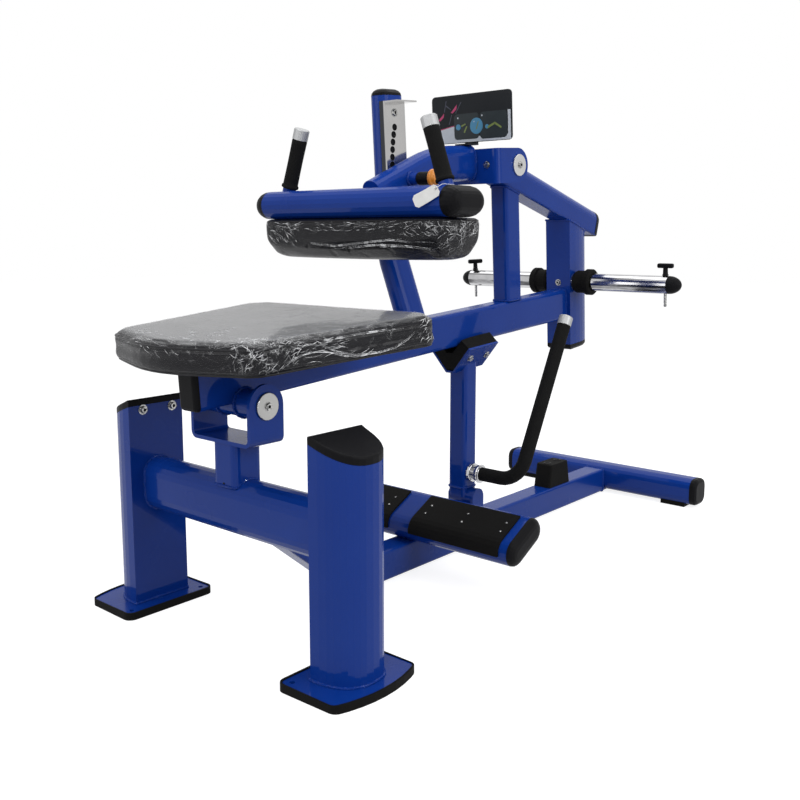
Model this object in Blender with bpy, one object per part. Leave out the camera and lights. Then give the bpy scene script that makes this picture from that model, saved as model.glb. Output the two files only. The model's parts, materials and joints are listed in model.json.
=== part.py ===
# Plate-loaded calf raise machine: a seat and thigh arm on a swing frame,
# a fixed base with a foot bar, and a swing-away stop post.
# Metres, +Z up, +Y towards the weight horns, +X the lever's side.
import math

import bmesh
import bpy
from mathutils import Matrix, Vector

gap = 0.0003
round_steps = 24
edge_break = 0.001  # small chamfer at the ends of turned pieces
soft_break = 0.002
cap_break = 0.003
tool_overrun = 1.2  # cutting tools run past what they cut
merge_distance = 0.000001
sharpest_turn = 0.1  # least cosine in a swept bend
cheek_steps = 16
small_steps = 14
crown_steps = 12
fine_dome_steps = 6
lever_bend_steps = 7
horn_bore_length = 0.2
arm_end_in_bar = 0.040
pad_tool_size = (0.2, 0.1)
upright_cap_step = 0.3
oval_steps = 10
X = Vector((1, 0, 0))
Y = Vector((0, 1, 0))
Z = Vector((0, 0, 1))

# Base plates and their rubber feet
plate_inner_x = 0.240
plate_corner_x = 0.379
plate_bulge_x = 0.401
plate_half_y = 0.110
plate_middle_y = -0.003
plate_thickness = 0.0097
plate_corner_radius = 0.014
plate_hole_radius = 0.0055
plate_hole_inset = 0.017
foot_wall = 0.005
foot_floor = 0.004
foot_height = 0.016

# Uprights
upright_flat_x = 0.278
upright_chord = 0.140
upright_depth = 0.095
upright_power = 2.5
upright_height = 0.461
upright_slope = 0.36
upright_cap_height = 0.016
upright_cap_edge = 0.004

# Cross tube and pedestal
cross_depth = 0.072
cross_height = 0.120
cross_y = -0.001
cross_z = 0.282
pedestal_width = 0.072
pedestal_corner = 0.014
pedestal_foot_drop = 0.013

# Pivots, in the base's frame
front_pivot_z = 0.498
swing_tilt = math.radians(3.8)
pivot_pin_radius = 0.010
disc_radius = 0.0275
disc_thickness = 0.005

# Bent-plate clevises
clevis_plate = 0.008
clevis_half_width = 0.092
clevis_bend = 0.016
front_clevis_radius = 0.044
front_clevis_reach = 0.080
arm_clevis_radius = 0.0435
arm_clevis_reach = 0.093

# Floor beam
beam_floor_width = 0.065
beam_floor_height = 0.074
beam_floor_corner = 0.007
beam_floor_z = 0.041
riser_slope = math.radians(38.9)
riser_mitre_y = 0.3186

# Rear foot
rear_foot_y = 1.523
rear_foot_z = 0.048
rear_foot_depth = 0.080
rear_foot_height = 0.080
rear_foot_corner = 0.026
rear_foot_half = 0.322
rear_cap_length = 0.020
rear_cap_draws = ((0, 0), (0.55, 0), (0.85, 0.003), (1, 0.010))
rear_pad_inner_x = 0.227
rear_pad_outer_x = 0.304
rear_pad_depth = 0.060
rear_pad_height = 0.016

# Foot bar
bar_width = 0.140
bar_height = 0.064
bar_y = 0.568
bar_tilt = math.radians(27)
bar_half = 0.320
bar_cap_length = 0.016
bar_cap_dome = 0.022
tread_inner_x = 0.034
tread_outer_x = 0.299
tread_thickness = 0.005
tread_back = 0.044
tread_wrap = math.radians(72)

# Rubber bumper
bumper_half_x = 0.028
bumper_front_y = 1.160
bumper_back_y = 1.277
bumper_height = 0.068
bumper_corner = 0.006
bumper_shoulder = 0.96
bumper_crown_draw = 1.2
bumper_side_draw = 0.06
bumper_draft = 0.011
bumper_hole_radius = 0.007
bumper_hole_depth = 0.020
bumper_hole_spacing = 0.056

# Stop post, its bracket and its lever
stop_y = 0.763
stop_z = 0.142
stop_barrel_radius = 0.023
stop_barrel_left = 0.028
stop_barrel_right = 0.045
stop_cheek_thickness = 0.008
stop_cheek_radius = 0.024
stop_left_cheek_radius = 0.013
stop_base_thickness = 0.008
stop_base_edge = 0.002
stop_post_side = 0.054
stop_post_corner = 0.010
saddle_front = 0.702
saddle_length = 0.126
saddle_half_width = 0.067
saddle_drop = 0.0804
saddle_plate = 0.005
saddle_foot = 0.0125
saddle_edge_drop = 0.004
stop_rubber_lip_x = 0.040
stop_rubber_floor_x = 0.010
stop_rubber_relief = 0.003
stop_rubber_lead = 0.30
lever_height = 0.207
lever_x = 0.180
lever_radius = 0.018
lever_bend = 0.055
lever_top_y = 0.970
lever_top_z = 0.603
lever_cap_length = 0.025
lever_cap_radius = 0.0185
coupling_radius = 0.017
coupling_flange_radius = 0.025
coupling_waist = 0.021
coupling_length = 0.038
coupling_steps = (0.003, 0.010, 0.011, 0.024, 0.025, 0.035)  # where the two flanges start and end

# Swing frame: s runs back along the beam from the front pivot, n is square to it
main_width = 0.054
main_height = 0.088
main_corner = 0.010
main_underside = 0.001
main_front = -0.108
main_cap_length = 0.012
main_cap_dome = 0.008
barrel_radius = 0.029
barrel_half = 0.0835
mid_post_width = 0.052
mid_post_front = 0.936
mid_post_depth = 0.069
mid_post_corner = 0.010
rear_post_front = 1.238
rear_post_chord = 0.080
rear_post_depth = 0.126
rear_post_bottom = -0.075
rear_post_power = 2.7
rear_post_cap_length = 0.015
rear_post_cap_step = 0.6
rear_post_cap_draw = 0.004
top_pivot_s = 0.900
top_pivot_n = 0.450
top_slope = math.radians(19.4)
top_width = 0.062
top_height = 0.077
top_drop = 0.035
top_corner = 0.006
top_length = 0.548
top_start = 0.010
top_cap_length = 0.014
top_cap_step = 0.5
top_cap_skirt = 0.0005
top_cap_draw = 0.005

# Weight horn
horn_radius = 0.025
horn_s = 1.268
horn_n = 0.110
horn_half = 0.335
horn_cap_length = 0.035
horn_cap_dome = 0.97
collar_step = 0.62
collar_lip = 0.004
collar_lead = 0.006
collar_inner_x = 0.0447
collar_length = 0.055
collar_radius = 0.033
collar_flange_radius = 0.038
horn_pin_x = 0.324
horn_pin_radius = 0.004
horn_pin_below = 0.036
horn_pin_stem = 0.022
horn_pin_handle = 0.046
horn_pin_handle_depth = 0.015
horn_pin_handle_height = 0.014
horn_pin_handle_corner = 0.005
horn_pin_neck = 0.008
horn_pin_neck_top = 0.007
horn_pin_turn = math.radians(50)  # the left one is turned
horn_pin_travel_clearance = 0.0005

# Tower and adjuster plate
tower_s = 0.572
tower_x = -0.062
tower_foot_x = -0.014
tower_width = 0.054
tower_depth = 0.082
tower_bend_n = 0.236
tower_top_n = 0.622
tower_cap_length = 0.016
tower_cap_dome = 0.022
tower_bend_radius = 0.080
adjuster_face_x = -0.028
adjuster_thickness = 0.004
adjuster_front = 0.526
adjuster_width = 0.072
adjuster_bottom = 0.372
adjuster_top = 0.607
adjuster_lip = 0.038
adjuster_return = 0.017
adjuster_hole_radius = 0.007
adjuster_hole_count = 10
adjuster_hole_pitch = math.radians(2.84)
adjuster_first_hole = math.radians(15.97)
adjuster_rest_hole = 7
adjuster_bolt_drop = 0.026
adjuster_boss_radius = 0.009

# Thigh arm, measured from the top pivot
arm_width = 0.054
arm_height = 0.088
arm_rise = 0.010
arm_slope = math.radians(18.65)
arm_bend_back = -0.234
arm_bend_radius = 0.420
crossbar_back = -0.498
crossbar_up = -0.0747
crossbar_depth = 0.126
crossbar_height = 0.066
crossbar_half = 0.271
crossbar_cap_length = 0.036
crossbar_cap_dome = 0.026
pin_swing = 0.3555
pin_radius = 0.006
boss_radius = 0.014
boss_length = 0.024
pin_grip_radius = 0.016
pin_grip_length = 0.039
pin_flange_radius = 0.021
pin_flange_length = 0.016
pin_flange_break = 0.004
pin_tip_break = 0.0015
handle_base_x = 0.241
handle_base_back = 0.0
handle_lean = math.radians(18.8)
handle_stub_radius = 0.016
handle_stub_length = 0.009
handle_stub_root = 0.012  # let into the crossbar
grip_radius = 0.018
grip_flange_radius = 0.0205
grip_length = 0.118
grip_flange_end = 0.006
grip_flange_taper = 0.008
grip_cap_length = 0.025
grip_cap_radius = 0.0185
sign_half_width = 0.1245
sign_height = 0.121
sign_back = -0.079
sign_bottom = 0.062
sign_corner = 0.010
sign_centre_x = 0.0025
sign_bracket_gap = 1.5
sign_thickness = 0.004
sign_bracket_half = 0.020
sign_bracket_reach = 0.046
sign_bracket_top = 0.150

# Cushions
seat_thickness = 0.062
seat_front_s = -0.200
seat_front_corner_s = -0.132
seat_front_half = 0.222
seat_wide_s = 0.285
seat_wide_half = 0.290
seat_back_half = 0.250
seat_back_s = 0.328
seat_corner_radius = 0.045
seat_front_radius = 0.30
seat_side_radius = 0.030
seat_back_radius = 0.040
seat_levels = (  # share of the height, draw inwards
    (0.0, 0.010), (0.05, 0.004), (0.20, 0.0), (0.50, 0.003), (0.72, 0.001), (0.86, 0.004), (0.94, 0.012),
)
seat_crown = ((0.82, 0.985), (0.6, 1.02), (0.3, 1.035))  # share of the outline, share of the height
thigh_half = 0.271
thigh_ends = ((1.0, 1), (0.985, 0.55), (0.95, 0.2), (0.87, 0), (0.45, -0.08), (0, -0.11))
thigh_top_radius = 0.012
thigh_low_radius = 0.030
thigh_flank = 0.97
thigh_belly = 0.50
thigh_bend = 0.62
thigh_depth = 0.154
thigh_height = 0.085
thigh_offset = 0.015
thigh_end_draw = 0.016

blue_paint = ("blue_paint", (0.020, 0.055, 0.330), 0.25, 0.0)
black_plastic = ("black_plastic", (0.012, 0.012, 0.013), 0.5, 0.0)
black_rubber = ("black_rubber", (0.015, 0.015, 0.016), 0.75, 0.0)
black_vinyl = ("black_vinyl", (0.014, 0.014, 0.016), 0.35, 0.0)
polished_steel = ("polished_steel", (0.78, 0.78, 0.79), 0.12, 1.0)
brushed_steel = ("brushed_steel", (0.60, 0.60, 0.61), 0.35, 1.0)
aluminium = ("aluminium", (0.72, 0.73, 0.74), 0.35, 1.0)
placard_grey = ("placard_grey", (0.050, 0.062, 0.075), 0.4, 0.0)


def clear_scene():
    for item in list(bpy.data.objects):
        bpy.data.objects.remove(item, do_unlink=True)


def make_material(name, finish):
    kind, colour, roughness, metallic = finish
    material = bpy.data.materials.new(name + "_" + kind)
    material.use_nodes = True
    shader = material.node_tree.nodes["Principled BSDF"]
    shader.inputs["Base Color"].default_value = (*colour, 1.0)
    shader.inputs["Roughness"].default_value = roughness
    shader.inputs["Metallic"].default_value = metallic
    return material


def make_empty(name, location, parent=None):
    empty = bpy.data.objects.new(name, None)
    bpy.context.scene.collection.objects.link(empty)
    empty.location = location
    empty.parent = parent
    return empty


# Outlines: lists of 2-D points, anticlockwise
def arc(centre, radius, start, end, steps):
    turn = (end - start) / steps
    return [
        Vector((
            centre[0] + radius * math.cos(start + turn * i),
            centre[1] + radius * math.sin(start + turn * i),
        ))
        for i in range(steps + 1)
    ]


def rounded_box(width, height, radius, steps=4):
    half_w = width / 2 - radius
    half_h = height / 2 - radius
    corners = ((1, 1), (-1, 1), (-1, -1), (1, -1))
    points = []
    for index, (side, rise) in enumerate(corners):
        start = index * math.pi / 2
        centre = (side * half_w, rise * half_h)
        points += arc(centre, radius, start, start + math.pi / 2, steps)
    return points


def flat_oval(width, height, steps=oval_steps):
    radius = min(width, height) / 2
    if width > height:
        offset = width / 2 - radius
        right = arc((offset, 0), radius, -math.pi / 2, math.pi / 2, steps)
        left = arc((-offset, 0), radius, math.pi / 2, 3 * math.pi / 2, steps)
        return right + left
    offset = height / 2 - radius
    top = arc((0, offset), radius, 0, math.pi, steps)
    bottom = arc((0, -offset), radius, math.pi, 2 * math.pi, steps)
    return top + bottom


def circle(radius, steps=round_steps):
    return arc((0, 0), radius, 0, 2 * math.pi * (steps - 1) / steps, steps - 1)


def bulged(chord, depth, power, steps=18):
    # Flat chord along the first axis, bulging along the second
    points = []
    for i in range(steps + 1):
        turn = math.pi * i / steps
        cosine = math.cos(turn)
        along = math.copysign(abs(cosine) ** (2 / power), cosine) * chord / 2
        points.append(Vector((along, abs(math.sin(turn)) ** (2 / power) * depth)))
    return points


def filleted(corners, radii, steps=5):
    points = []
    count = len(corners)
    for i, radius in enumerate(radii):
        corner = Vector(corners[i])
        before = (Vector(corners[i - 1]) - corner).normalized()
        after = (Vector(corners[(i + 1) % count]) - corner).normalized()
        if radius == 0:
            points.append(corner)
            continue
        half = before.angle(after) / 2
        reach = radius / math.tan(half)
        centre = corner + (before + after).normalized() * radius / math.sin(half)
        first = corner + before * reach - centre
        last = corner + after * reach - centre
        turn = first.angle_signed(last)
        start = math.atan2(first.y, first.x)
        points += arc(centre, radius, start, start - turn, steps)
    return points


def inset(outline, amount):
    # Move each point inward, square to its neighbours' chord
    points = []
    count = len(outline)
    for i, point in enumerate(outline):
        ahead = outline[(i + 1) % count] - outline[i - 1]
        outward = Vector((ahead.y, -ahead.x)).normalized()
        points.append(point - outward * amount)
    return points


def shrunk(outline, share):
    centre = sum(outline, Vector((0, 0))) / len(outline)
    return [centre + (point - centre) * share for point in outline]


def ring(outline, origin, across, up):
    return [origin + across * point.x + up * point.y for point in outline]


# Solids
def make_object(name, mesh, finish, parent, angle=35):
    mesh.materials.append(make_material(name, finish))
    mesh.shade_smooth()
    mesh.set_sharp_from_angle(angle=math.radians(angle))
    item = bpy.data.objects.new(name, mesh)
    bpy.context.scene.collection.objects.link(item)
    item.parent = parent
    return item


def loft(name, rings, finish, parent, angle=35):
    work = bmesh.new()
    rows = [[work.verts.new(point) for point in row] for row in rings]
    count = len(rings[0])
    for low, high in zip(rows, rows[1:]):
        for i in range(count):
            j = (i + 1) % count
            work.faces.new((low[i], low[j], high[j], high[i]))
    work.faces.new(rows[0][::-1])
    work.faces.new(rows[-1])
    bmesh.ops.recalc_face_normals(work, faces=work.faces)
    mesh = bpy.data.meshes.new(name)
    work.to_mesh(mesh)
    work.free()
    return make_object(name, mesh, finish, parent, angle)


def stack(name, outline, origin, across, up, axis, levels, finish, parent, angle=35):
    # Levels are pairs: distance along the axis, inset of the outline there
    rings = [
        ring(inset(outline, draw), origin + axis * distance, across, up)
        for distance, draw in levels
    ]
    return loft(name, rings, finish, parent, angle)


def prism(name, outline, origin, across, up, axis, length, finish, parent):
    levels = ((0, 0), (length, 0))
    return stack(name, outline, origin, across, up, axis, levels, finish, parent)


def box(name, low, high, finish, parent):
    size = Vector(high) - Vector(low)
    outline = [Vector((0, 0)), Vector((size.x, 0)), Vector((size.x, size.y)), Vector((0, size.y))]
    return prism(name, outline, Vector(low), X, Y, Z, size.z, finish, parent)


def turned(name, origin, axis, profile, finish, parent, steps=round_steps):
    # Profile is pairs: distance along the axis, radius
    across = axis.orthogonal().normalized()
    up = axis.cross(across)
    rings = [
        ring(circle(radius, steps), origin + axis * distance, across, up)
        for distance, radius in profile
    ]
    return loft(name, rings, finish, parent)


def dome(length, radius, steps=4):
    # Pairs for a rounded end: distance, inset
    return [
        (length * math.sin(math.pi / 2 * i / steps), radius * (1 - math.cos(math.pi / 2 * i / steps)))
        for i in range(steps + 1)
    ]


def swept_rings(outline, path, side):
    rings = []
    for i, point in enumerate(path):
        ahead = (path[min(i + 1, len(path) - 1)] - point)
        behind = (point - path[max(i - 1, 0)])
        ahead = ahead.normalized() if ahead.length else behind.normalized()
        behind = behind.normalized() if behind.length else ahead
        tangent = (ahead + behind).normalized()
        up = side.cross(tangent) / max(tangent.dot(ahead), sharpest_turn)
        rings.append(ring(outline, point, side, up))
    return rings


def bend(start, corner, end, radius, steps):
    back = (start - corner).normalized()
    on = (end - corner).normalized()
    half = back.angle(on) / 2
    reach = radius / math.tan(half)
    centre = corner + (back + on).normalized() * radius / math.sin(half)
    first = corner + back * reach - centre
    last = corner + on * reach - centre
    turn = first.angle(last)
    normal = first.cross(last).normalized()
    curve = [centre + Matrix.Rotation(turn * i / steps, 3, normal) @ first for i in range(steps + 1)]
    return [start] + curve + [end]


def apply_boolean(target, tool, operation):
    modifier = target.modifiers.new(operation.lower(), "BOOLEAN")
    modifier.operation = operation
    modifier.object = tool
    bpy.context.view_layer.update()
    depsgraph = bpy.context.evaluated_depsgraph_get()
    mesh = bpy.data.meshes.new_from_object(target.evaluated_get(depsgraph))
    target.modifiers.clear()
    target.data = mesh
    bpy.data.objects.remove(tool, do_unlink=True)
    work = bmesh.new()
    work.from_mesh(mesh)
    bmesh.ops.remove_doubles(work, verts=work.verts, dist=merge_distance)
    work.to_mesh(mesh)
    work.free()


def cut(target, tool):
    apply_boolean(target, tool, "DIFFERENCE")


def join(target, tool):
    apply_boolean(target, tool, "UNION")


def keep_inside(target, tool):
    apply_boolean(target, tool, "INTERSECT")


def gathered(tools):
    # Separate bodies in one object, to cut with together
    work = bmesh.new()
    for tool in tools:
        work.from_mesh(tool.data)
    work.to_mesh(tools[0].data)
    work.free()
    for tool in tools[1:]:
        bpy.data.objects.remove(tool, do_unlink=True)
    return tools[0]


def bore(target, origin, axis, radius, length, steps=20):
    start = origin - axis * length / 2
    tool = turned("bore", start, axis, ((0, radius), (length, radius)), brushed_steel, target.parent, steps)
    cut(target, tool)


def clevis(name, pivot, out, radius, reach, finish, parent):
    # A plate bent round the pivot's far side; out points from its web to the pivot
    rise = X.cross(out)
    half = clevis_half_width
    inner = half - clevis_plate
    tip = radius + reach
    outline = filleted(
        ((-half, 0), (half, 0), (half, tip), (inner, tip), (inner, clevis_plate),
         (-inner, clevis_plate), (-inner, tip), (-half, tip)),
        (clevis_bend, clevis_bend, 0, 0, clevis_bend - clevis_plate, clevis_bend - clevis_plate, 0, 0),
    )
    web = pivot - out * reach
    plate = prism(name, outline, web - rise * radius, X, out, rise, 2 * radius, finish, parent)
    cheek = arc((0, 0), radius, 0, math.pi, cheek_steps)
    cheek += [Vector((-radius, -reach)), Vector((radius, -reach))]
    reach_x = half * tool_overrun
    tool = prism("cheek", cheek, pivot - X * reach_x, rise, out, X, 2 * reach_x, finish, parent)
    keep_inside(plate, tool)
    bore(plate, pivot, X, pivot_pin_radius + gap, half * 3)
    return plate


def pivot_pin(name, pivot, reach, radius, thickness, parent):
    profile = (
        (-reach - thickness, radius - edge_break),
        (-reach - thickness + edge_break, radius),
        (-reach, radius),
        (-reach, pivot_pin_radius),
        (reach, pivot_pin_radius),
        (reach, radius),
        (reach + thickness - edge_break, radius),
        (reach + thickness, radius - edge_break),
    )
    return turned(name, pivot, X, profile, brushed_steel, parent)


def base_outline(side, grow):
    half = plate_half_y + grow
    sagitta = plate_bulge_x - plate_corner_x
    radius = (plate_half_y ** 2 + sagitta ** 2) / (2 * sagitta)
    spread = math.asin(plate_half_y / radius)
    bulge = arc((plate_bulge_x - radius, 0), radius + grow, -spread, spread, 8)
    corners = [Vector((plate_inner_x - grow, half)), Vector((plate_inner_x - grow, -half))] + bulge
    radii = [plate_corner_radius + grow] * 3 + [0] * 7 + [plate_corner_radius + grow]
    outline = filleted(corners, radii)
    if side > 0:
        return outline
    return [Vector((-point.x, point.y)) for point in reversed(outline)]


def upright_outline(grow=0.0):
    return bulged(upright_chord + 2 * grow, upright_depth + grow, upright_power)


def upright_ring(side, height, draw=0.0):
    # The top slants down towards the outside
    shape = inset(upright_outline(), draw)
    return [
        Vector((side * (upright_flat_x + p.y), p.x, height - upright_slope * p.y)) for p in shape
    ]


def make_side(side, word, base):
    plate_low = foot_floor + gap
    plate_top = plate_low + plate_thickness
    middle = Vector((0, plate_middle_y, 0))
    foot_rings = [
        ring(base_outline(side, foot_wall), middle, X, Y),
        ring(base_outline(side, foot_wall), middle + Z * foot_height, X, Y),
        ring(base_outline(side, gap), middle + Z * foot_height, X, Y),
        ring(base_outline(side, gap), middle + Z * foot_floor, X, Y),
    ]
    loft("base_foot_" + word, foot_rings, black_rubber, base)
    plate = prism(
        "base_plate_" + word, base_outline(side, 0), middle + Z * plate_low, X, Y, Z,
        plate_thickness, blue_paint, base,
    )
    for end in (-1, 1):
        hole = Vector((
            side * (plate_inner_x + plate_hole_inset),
            plate_middle_y + end * (plate_half_y - plate_hole_inset),
            plate_low,
        ))
        bore(plate, hole, Z, plate_hole_radius, 4 * plate_thickness, 12)
    foot_ring = [
        Vector((side * (upright_flat_x + p.y), p.x, plate_top + gap)) for p in upright_outline()
    ]
    loft("upright_" + word, [foot_ring, upright_ring(side, upright_height)], blue_paint, base)
    top = upright_height + upright_cap_height
    cap_rings = [
        upright_ring(side, upright_height + gap),
        upright_ring(side, top - upright_cap_edge),
        upright_ring(side, top - upright_cap_edge * upright_cap_step, upright_cap_edge * upright_cap_step),
        upright_ring(side, top, upright_cap_edge),
    ]
    loft("upright_cap_" + word, cap_rings, black_plastic, base)


def cross_tool(grow, base):
    outline = flat_oval(cross_depth + 2 * grow, cross_height + 2 * grow)
    origin = Vector((-upright_flat_x, cross_y, cross_z))
    return prism("cross_tool", outline, origin, Y, Z, X, 2 * upright_flat_x, blue_paint, base)


def make_cross(base):
    reach = upright_flat_x - gap
    outline = flat_oval(cross_depth, cross_height)
    origin = Vector((-reach, cross_y, cross_z))
    prism("cross_tube", outline, origin, Y, Z, X, 2 * reach, blue_paint, base)
    pivot = Vector((0, 0, front_pivot_z))
    plate = clevis(
        "front_clevis", pivot, Z, front_clevis_radius, front_clevis_reach, blue_paint, base
    )
    foot = cross_z + cross_height / 2 - pedestal_foot_drop
    top = front_pivot_z - front_clevis_reach + clevis_plate / 4
    pedestal = prism(
        "pedestal", rounded_box(pedestal_width, pedestal_width, pedestal_corner),
        Vector((0, cross_y, foot)), X, Y, Z, top - foot, blue_paint, base,
    )
    cut(pedestal, cross_tool(gap, base))
    join(plate, pedestal)
    pivot_pin(
        "front_pivot_pin", pivot, clevis_half_width + gap, disc_radius, disc_thickness, base
    )


def make_floor_beam(base):
    outline = rounded_box(beam_floor_width, beam_floor_height, beam_floor_corner, 3)
    mitre = Vector((0, riser_mitre_y, beam_floor_z))
    rise = math.tan(riser_slope) * riser_mitre_y
    start = Vector((0, 0, beam_floor_z + rise))
    end = Vector((0, rear_foot_y, beam_floor_z))
    rings = swept_rings(outline, [start, mitre, end], X)
    beam = loft("floor_beam", rings, blue_paint, base)
    cut(beam, cross_tool(gap, base))
    foot = rounded_box(
        rear_foot_depth + 2 * gap, rear_foot_height + 2 * gap, rear_foot_corner + gap
    )
    origin = Vector((-beam_floor_width, rear_foot_y, rear_foot_z))
    tool = prism("foot_tool", foot, origin, Y, Z, X, 2 * beam_floor_width, blue_paint, base)
    cut(beam, tool)
    clean_small_bodies(beam)


def clean_small_bodies(item):
    # Keep the largest closed body that a cut leaves
    work = bmesh.new()
    work.from_mesh(item.data)
    left = set(work.verts)
    bodies = []
    while left:
        seed = left.pop()
        body = {seed}
        front = [seed]
        while front:
            vertex = front.pop()
            for edge in vertex.link_edges:
                other = edge.other_vert(vertex)
                if other not in body:
                    body.add(other)
                    front.append(other)
        left -= body
        bodies.append(body)
    bodies.sort(key=body_size)
    for body in bodies[:-1]:
        bmesh.ops.delete(work, geom=list(body), context="VERTS")
    work.to_mesh(item.data)
    work.free()


def body_size(body):
    return max(v.co.y for v in body) - min(v.co.y for v in body)


def make_rear_foot(base):
    outline = rounded_box(rear_foot_depth, rear_foot_height, rear_foot_corner)
    centre = Vector((0, rear_foot_y, rear_foot_z))
    prism(
        "rear_foot_tube", outline, centre - X * rear_foot_half, Y, Z, X, 2 * rear_foot_half,
        blue_paint, base,
    )
    grown = inset(outline, -gap)
    for side, word in ((-1, "left"), (1, "right")):
        levels = [(rear_cap_length * share, draw) for share, draw in rear_cap_draws]
        stack(
            "rear_foot_cap_" + word, outline, centre + X * side * (rear_foot_half + gap),
            Y, Z, X * side, levels, black_plastic, base,
        )
        low_x, high_x = sorted((side * rear_pad_inner_x, side * rear_pad_outer_x))
        pad = box(
            "rear_foot_pad_" + word,
            (low_x, rear_foot_y - rear_pad_depth / 2, 0),
            (high_x, rear_foot_y + rear_pad_depth / 2, rear_pad_height),
            black_rubber, base,
        )
        cut(pad, prism(
            "foot_tool", grown, centre - X * rear_foot_half * tool_overrun, Y, Z, X,
            2 * rear_foot_half * tool_overrun,
            blue_paint, base,
        ))


def bar_centre():
    lowest = math.sin(bar_tilt) * (bar_width - bar_height) / 2 + bar_height / 2
    return Vector((0, bar_y, beam_floor_z + beam_floor_height / 2 + gap + lowest))


def tread_outline():
    # Follows the bar's upper face and its low front round edge
    radius = bar_height / 2
    front = bar_width / 2 - radius
    near = radius + gap
    far = near + tread_thickness
    # The wrap has the bar's own facets, so that it lies flat on them
    facets = round(tread_wrap / (math.pi / oval_steps))
    last = math.pi / 2 + facets * math.pi / oval_steps
    inner = arc((-front, 0), near, math.pi / 2, last, facets)
    outer = arc((-front, 0), far, last, math.pi / 2, facets)
    return [Vector((tread_back, far)), Vector((tread_back, near))] + inner + outer


def make_foot_bar(base):
    along = Vector((0, math.cos(bar_tilt), math.sin(bar_tilt)))
    square = Vector((0, -math.sin(bar_tilt), math.cos(bar_tilt)))
    centre = bar_centre()
    outline = flat_oval(bar_width, bar_height)
    prism("foot_bar", outline, centre - X * bar_half, along, square, X, 2 * bar_half, blue_paint, base)
    for side, word in ((-1, "left"), (1, "right")):
        stack(
            "foot_bar_cap_" + word, outline, centre + X * side * (bar_half + gap), along, square,
            X * side, dome(bar_cap_length, bar_cap_dome), black_plastic, base,
        )
        start = min(side * tread_inner_x, side * tread_outer_x)
        prism(
            "foot_tread_" + word, tread_outline(), centre + X * start, along, square, X,
            tread_outer_x - tread_inner_x, black_rubber, base,
        )


def make_bumper(base):
    low = beam_floor_z + beam_floor_height / 2 + gap
    middle = (bumper_front_y + bumper_back_y) / 2
    outline = rounded_box(2 * bumper_half_x, bumper_back_y - bumper_front_y, bumper_corner, 2)
    rings = []
    shoulder = bumper_shoulder
    for level, draw in ((0, 0), (bumper_height * shoulder, shoulder), (bumper_height, bumper_crown_draw)):
        narrow = 1 - bumper_side_draw * draw
        shape = [Vector((p.x * narrow, p.y - math.copysign(bumper_draft * draw, p.y))) for p in outline]
        rings.append(ring(shape, Vector((0, middle, low + level)), X, Y))
    block = loft("bumper", rings, black_rubber, base)
    for end in (-1, 1):
        hole = Vector((0, middle + end * bumper_hole_spacing / 2, low + bumper_height))
        bore(block, hole, Z, bumper_hole_radius, 2 * bumper_hole_depth, small_steps)


def make_stop_bracket(base):
    floor_top = beam_floor_z + beam_floor_height / 2 + gap
    axis = Vector((0, stop_y, stop_z))
    height = stop_z - floor_top
    left = -stop_barrel_left - gap - stop_cheek_thickness
    right = stop_barrel_right + gap
    edge = stop_base_edge
    bracket = box(
        "stop_bracket", (left - edge, stop_y - stop_cheek_radius - edge, floor_top),
        (
            right + stop_cheek_thickness + edge, stop_y + stop_cheek_radius + edge,
            floor_top + stop_base_thickness,
        ),
        blue_paint, base,
    )
    foot = stop_base_thickness / 2 - height
    for start, radius in ((left, stop_left_cheek_radius), (right, stop_cheek_radius)):
        cheek = arc((0, 0), radius, 0, math.pi, small_steps)
        cheek += [Vector((-radius, foot)), Vector((radius, foot))]
        join(bracket, prism(
            "cheek", cheek, axis + X * start, Y, Z, X, stop_cheek_thickness, blue_paint, base
        ))
    inside = stop_cheek_thickness / 2
    start = left + inside
    length = right + inside - start
    profile = ((0, pivot_pin_radius), (length, pivot_pin_radius))
    join(bracket, turned("stop_pin", axis + X * start, X, profile, blue_paint, base))


def saddle_frame():
    # The saddle follows the main beam's underside above the stop's pivot
    along = Vector((0, math.cos(swing_tilt), math.sin(swing_tilt)))
    square = Vector((0, -math.sin(swing_tilt), math.cos(swing_tilt)))
    pivot = Vector((0, 0, front_pivot_z))
    front = pivot + along * saddle_front + square * (main_underside - saddle_edge_drop)
    return front - Vector((0, stop_y, stop_z)), along, square


def v_outline(half_width, drop, thick):
    # Bent plate, open at the top; its top edge at zero height
    slope = math.atan2(drop, half_width)
    shift = thick / math.cos(slope)
    foot = saddle_foot
    rise = foot * math.tan(slope)
    inner_foot = (rise + thick - shift) / math.tan(slope)
    inner_drop = drop - rise - thick
    return [
        Vector((-half_width, 0)), Vector((-foot, -drop + rise)), Vector((foot, -drop + rise)),
        Vector((half_width, 0)), Vector((half_width - thick * math.sin(slope), thick * math.cos(slope))),
        Vector((inner_foot, -inner_drop)), Vector((-inner_foot, -inner_drop)),
        Vector((-half_width + thick * math.sin(slope), thick * math.cos(slope))),
    ]


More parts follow.
